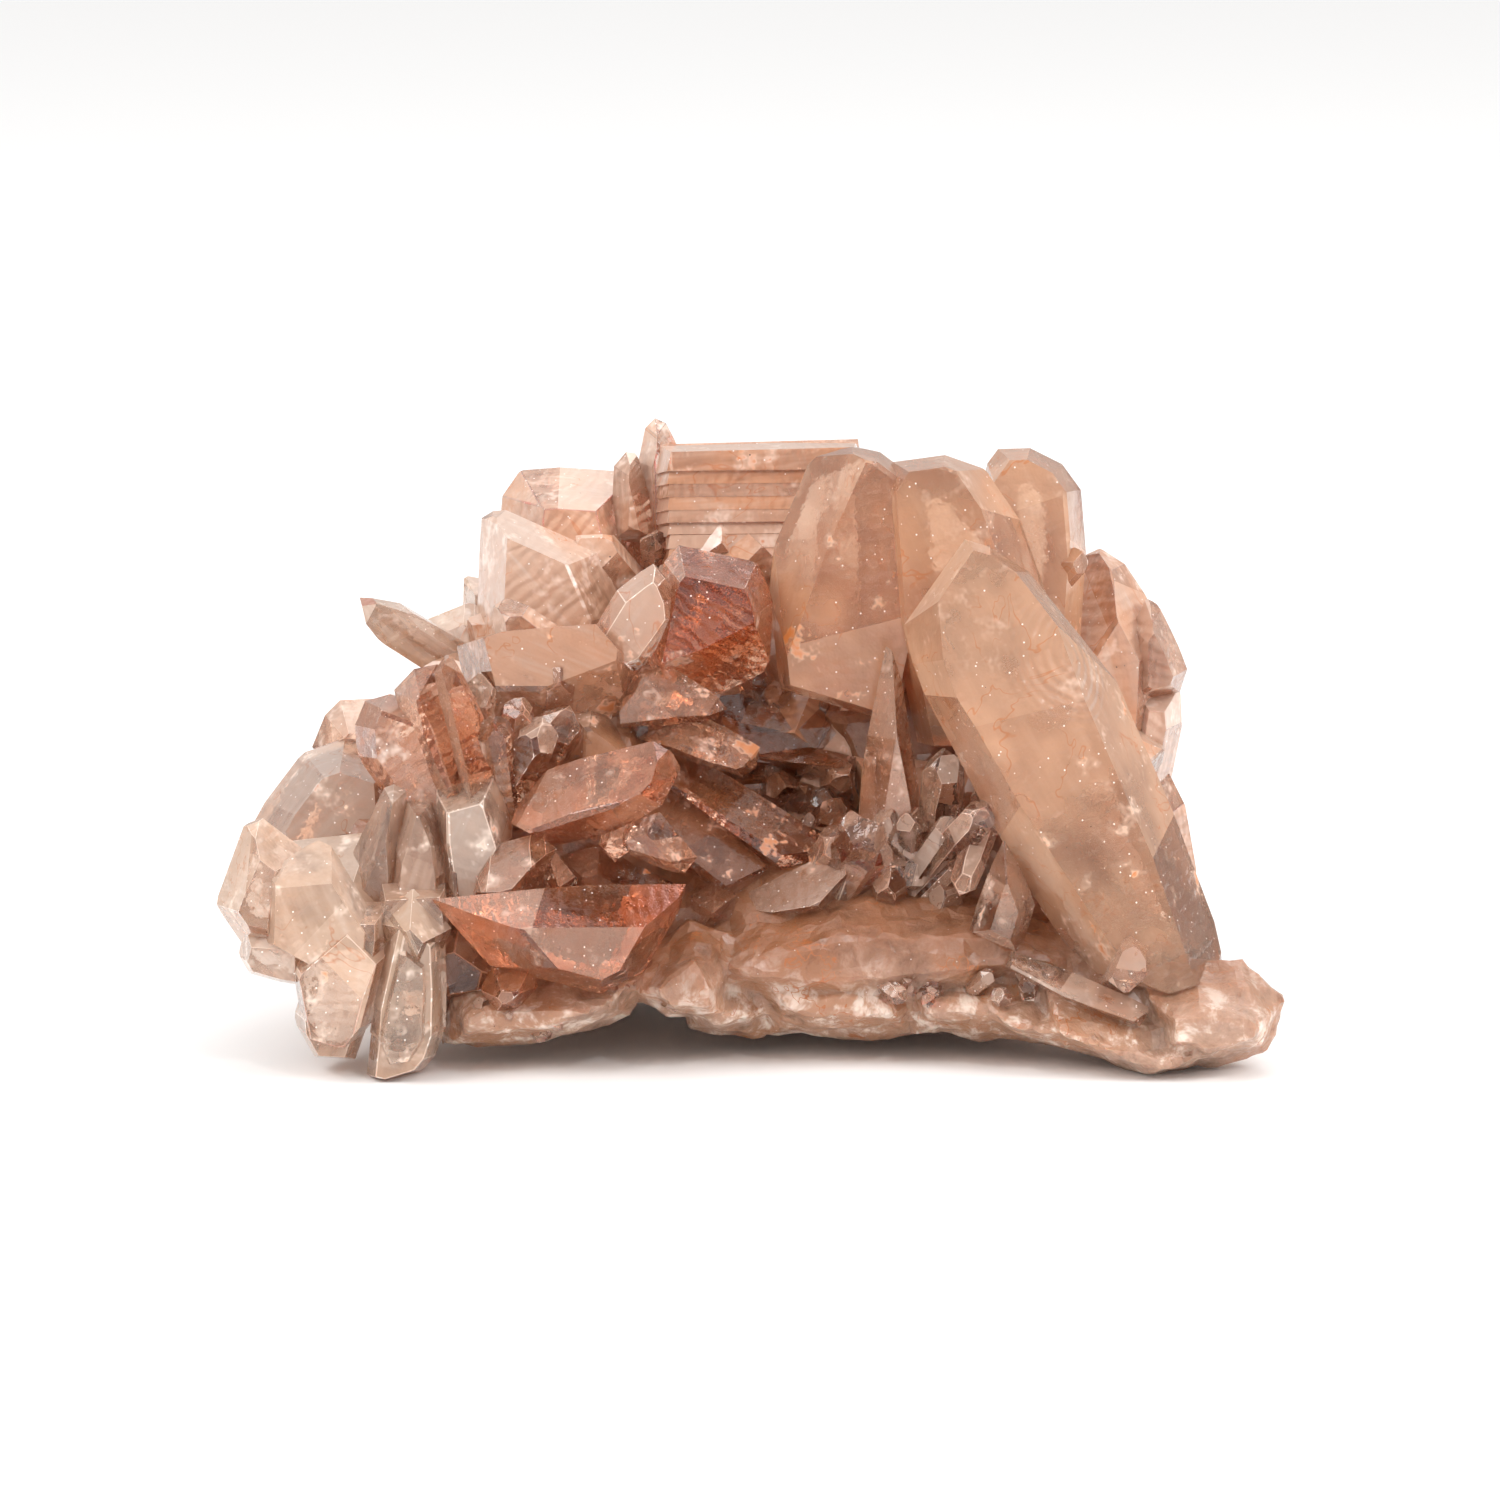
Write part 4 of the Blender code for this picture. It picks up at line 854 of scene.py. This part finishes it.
# Middle of each patch in the front view and how far back, its width and height, how many
# crystals, their length, and where they point: across, up and to the viewer
PATCHES = [
    ((-13, 35.5, 25), (12, 5), 16, 4.5, (0.3, 0.5, 0.8)),
    ((-16, 29, 22), (12, 4), 12, 4.5, (0.2, 0.3, 0.9)),
    ((2, 28, 34), (14, 7), 16, 6, (0.5, 0.1, 0.9)),
    ((9, 22.5, 27), (9, 4), 12, 5, (0.3, 0.5, 0.8)),
    ((-16, 17.5, 18), (14, 3), 10, 5, (-0.2, 0.3, 0.9)),
    ((-27, 25, 18), (7, 6), 10, 5, (-0.1, 0.8, 0.6)),
    ((-25, 15, 15), (12, 5), 12, 5, (-0.4, 0.2, 0.9)),
    ((20, 23, 21), (10, 6), 16, 6, (-0.2, 0.7, 0.7)),
    ((12, 19.5, 18), (14, 5), 18, 7.5, (0.4, 0.8, 0.45)),
    ((27, 16, 16), (8, 5), 10, 5, (0.1, 0.6, 0.8)),
    ((-20, 45, 42), (10, 4), 10, 6, (-0.2, 0.6, 0.7)),
    ((-6, 51, 48), (10, 5), 12, 6, (0.2, 0.5, 0.8)),
    ((5, 38, 38), (12, 3), 10, 5, (0.2, 0.2, 0.9)),
    ((-12, 10.5, 10), (14, 3), 10, 4, (0, -0.2, 1)),
    ((40, 10.5, 14), (12, 3), 8, 4.5, (0.2, 0.5, 0.8)),
    ((-37, 26, 26), (10, 6), 10, 5, (-0.3, 0.5, 0.8)),
    ((24, 9, 10), (26, 3), 14, 3.5, (0.2, 0.1, 0.9)),
    ((-24, 6, 8), (10, 2), 8, 3.5, (-0.2, 0.1, 0.9)),
]
small = []
for middle, spread, count, length, way in PATCHES:
    for _ in range(count):
        across = middle[0] + chance.uniform(-0.5, 0.5) * spread[0]
        up = middle[1] + chance.uniform(-0.5, 0.5) * spread[1]
        root = seen_at(across, up, middle[2] + chance.uniform(0, 3))
        lean = Vector((way[0], -way[2], way[1])) + Vector([chance.gauss(0, 0.3) for _ in range(3)])
        tip = root + lean.normalized() * length * MM * chance.uniform(0.6, 1.1)
        width = length * chance.uniform(0.35, 0.65)
        small.append(point(tip, root, width, turn=chance.uniform(0, 60), seed=len(small) + 300))
grown_together("small_crystals", small, rosy_quartz, rosy_edge, chips=0.2, edge=0.07, tilted=0)


# ---- Great point ----
# The largest crystal, broad and flat, which leans to the left. Satin above and clear below, with
# chipped edges.

great_quartz = quartz("great_quartz", (0.69, 0.405, 0.25, 1), (0.66, 0.37, 0.22, 1),
                      (0.66, 0.35, 0.20, 1), 0.36, PEACH_TINT, 55, rusty=0.6, satin=0.1,
                      lined=0.12, painted_highlight=0.25, veins=0.3, streaky=0.05, clear_foot=0.05,
                      face_light_spread=0.6, ripples=seen_at(33.5, 43.5, 10))
grown_together("great_point", [
    faceted([(21.5, 54.3), (24, 53.5), (27.9, 51), (36.7, 40), (47, 16.1), (47.2, 11), (39, 8.6),
             (33.3, 11), (17.2, 35.8), (15.5, 41.7), (15.4, 45.7)], 17, 15,
            [10, 10, 14, 30, 20, 0, 10, 24, 26, 26, 10], 32, slant=(0.05, 0.16)),
], great_quartz, satin_edge, tilted=5, chips=0.7, edge=0.4, worn_at=12)


# ---- Standing row ----
# Three broad satin points side by side, their flat faces to the front, and a slender one.

grown_together("standing_row", [
    faceted([(5.5, 62.2), (10.2, 63.6), (13, 63), (15, 61.5), (16, 45), (14, 36), (3, 39.3),
             (1.9, 49), (2.4, 53.8)], 33, 13, [8, 8, 8, 0, 0, 10, 10, 20, 38], 36,
            slant=(0, 0.1)),
    faceted([(14.3, 62), (19.5, 62.7), (23.5, 61.3), (27, 56.2), (31, 45), (27, 34), (15, 34),
             (14.2, 44.2), (11.1, 57.2)], 31, 13, [8, 10, 24, 30, 28, 0, 10, 14, 12], 36,
            slant=(0.05, 0.1)),
    faceted([(23.4, 61.4), (24.8, 63.3), (28, 63.4), (31.2, 61.8), (33.1, 59.2), (33.6, 53),
             (33, 44), (22, 44)], 40, 12, [10, 10, 14, 18, 22, 24, 0, 0], 34, slant=(0.1, 0.1)),
    point(seen_at(33.3, 53.0, 34), seen_at(28.0, 47.5, 38), 3.4, seed=23),
], satin_quartz, satin_edge, edge=0.2, worn_at=8)
grown_together("slender_point", [
    faceted([(15.2, 44.9), (13.3, 43.6), (12.5, 39.4), (10.1, 24.2), (12.5, 22), (17, 22),
             (20, 31), (17.6, 36), (15.6, 41.2)], 22, 8, [10, 26, 30, 34, 10, 10, 20, 20, 20],
            slant=(0.1, 0)),
], rosy_quartz, rosy_edge)


# ---- Right rear ----
# A reddish point behind the great one, with small white ones on it.

red_quartz = quartz("red_quartz", (0.70, 0.43, 0.30, 1), (0.72, 0.35, 0.19, 1),
                    (0.70, 0.32, 0.16, 1), 0.34, BROWN_TINT, 70, rusty=0.6,
                    stain=(0.66, 0.21, 0.06, 1), satin=0.12, lined=0.4, painted_highlight=0.35,
                    streaky=0.3, veins=0.5)
grown_together("right_rear", [
    faceted([(33.3, 52.6), (35, 53.4), (37.5, 51.8), (39.5, 48.8), (42, 44), (41, 26), (28, 34),
             (29.5, 46.5)], 47, 16, [10, 14, 20, 24, 24, 10, 10, 34], 36),
    faceted([(39.6, 48.4), (41.4, 47.5), (42.6, 44.3), (43.9, 41.8), (43, 39), (38, 38),
             (38, 45)], 43, 9, 20),
    faceted([(38, 40), (43, 39.6), (43.3, 36), (41.9, 29), (36, 28)], 45, 10, 22),
    faceted([(38, 34), (41.5, 32), (43.5, 28), (44.8, 20.5), (38, 12), (34, 24)], 44, 14),
], red_quartz, rosy_edge)


# ---- Skyline at the back left ----
# Milky and reddish crystals, one of them a broad horizontal bundle.

grown_together("skyline", [
    faceted([(-8, 63.8), (10.8, 64.3), (11.5, 61), (9, 50), (-9, 50), (-11, 57)], 56, 13,
            [26, 10, 10, 20, 20, 20], slant=(0.1, 0.2)),
    *[faceted([(-9, 63.6 - step * 1.3), (10.6 - step * 0.2, 64.1 - step * 1.3),
               (11 - step * 0.2, 62.4 - step * 1.3), (10 - step * 0.2, 61 - step * 1.3),
               (-9.5, 60.8 - step * 1.3)], 50.5 + 0.08 * (step * 3 % 4), 9, [6, 10, 14, 6, 10],
              slant=(0.1, 0.1)) for step in range(8)],
    faceted([(-11.2, 62), (-10.5, 65.4), (-9.5, 66.4), (-8.4, 65.9), (-7.2, 63.6), (-5.5, 54),
             (-11, 54)], 52, 6),
    faceted([(-13.6, 61.6), (-12.4, 63), (-10.9, 62.8), (-9, 54), (-14, 54)], 50, 7),
    faceted([(-24.8, 58.6), (-23, 61.2), (-19, 61.5), (-11.5, 61), (-9, 50), (-22, 48),
             (-25.2, 54)], 55, 18, slant=(0, 0.2)),
    faceted([(-27, 56.3), (-25.7, 57.1), (-24.4, 57.2), (-15, 53), (-12.5, 47), (-13, 40),
             (-28, 40), (-27.3, 50)], 44, 16, [10, 10, 14, 20, 20, 10, 10, 24], 34,
            slant=(-0.05, 0.1)),
    point(seen_at(1.2, 53.6, 44), seen_at(-4.0, 48, 52), 7.0, seed=24),
    point(seen_at(-3.0, 56.0, 46), seen_at(-6.0, 46, 52), 6.0, turn=20, seed=25),
    point(seen_at(-17.0, 54.5, 44), seen_at(-10.0, 46, 50), 6.5, turn=10, seed=26),
], red_quartz, rosy_edge, tilted=1)


# ---- Rear points ----
# Points of all sizes over the back, fanned out from deep inside the crust.

chance = random.Random(5)
heart = (Vector((0, 36, 12)) + SET_DOWN) * MM
rear_points = []
for step in range(38):
    lift = math.asin(0.9 * (step + 0.5) / 38)
    round_back = ((step * (1 + math.sqrt(5)) / 2) % 1 - 0.5) * math.radians(215)
    way = Vector((math.sin(round_back), math.cos(round_back), math.tan(lift))).normalized()
    tip = heart + Vector((44 * way.x, 33 * way.y, 36 * way.z)) * MM * chance.uniform(0.9, 1.06)
    root = heart.lerp(tip, 0.25) + Vector([chance.uniform(-8, 8) for _ in range(3)]) * MM
    root.z = max(root.z, 9.4 * MM)
    width = chance.choice((6, 8, 10, 13)) * chance.uniform(0.85, 1.15)
    rear_points.append(point(tip, root, width, turn=chance.uniform(-30, 30), seed=step + 100))
grown_together("rear_points", rear_points, red_quartz, rosy_edge, tilted=2)


bpy.context.view_layer.update()
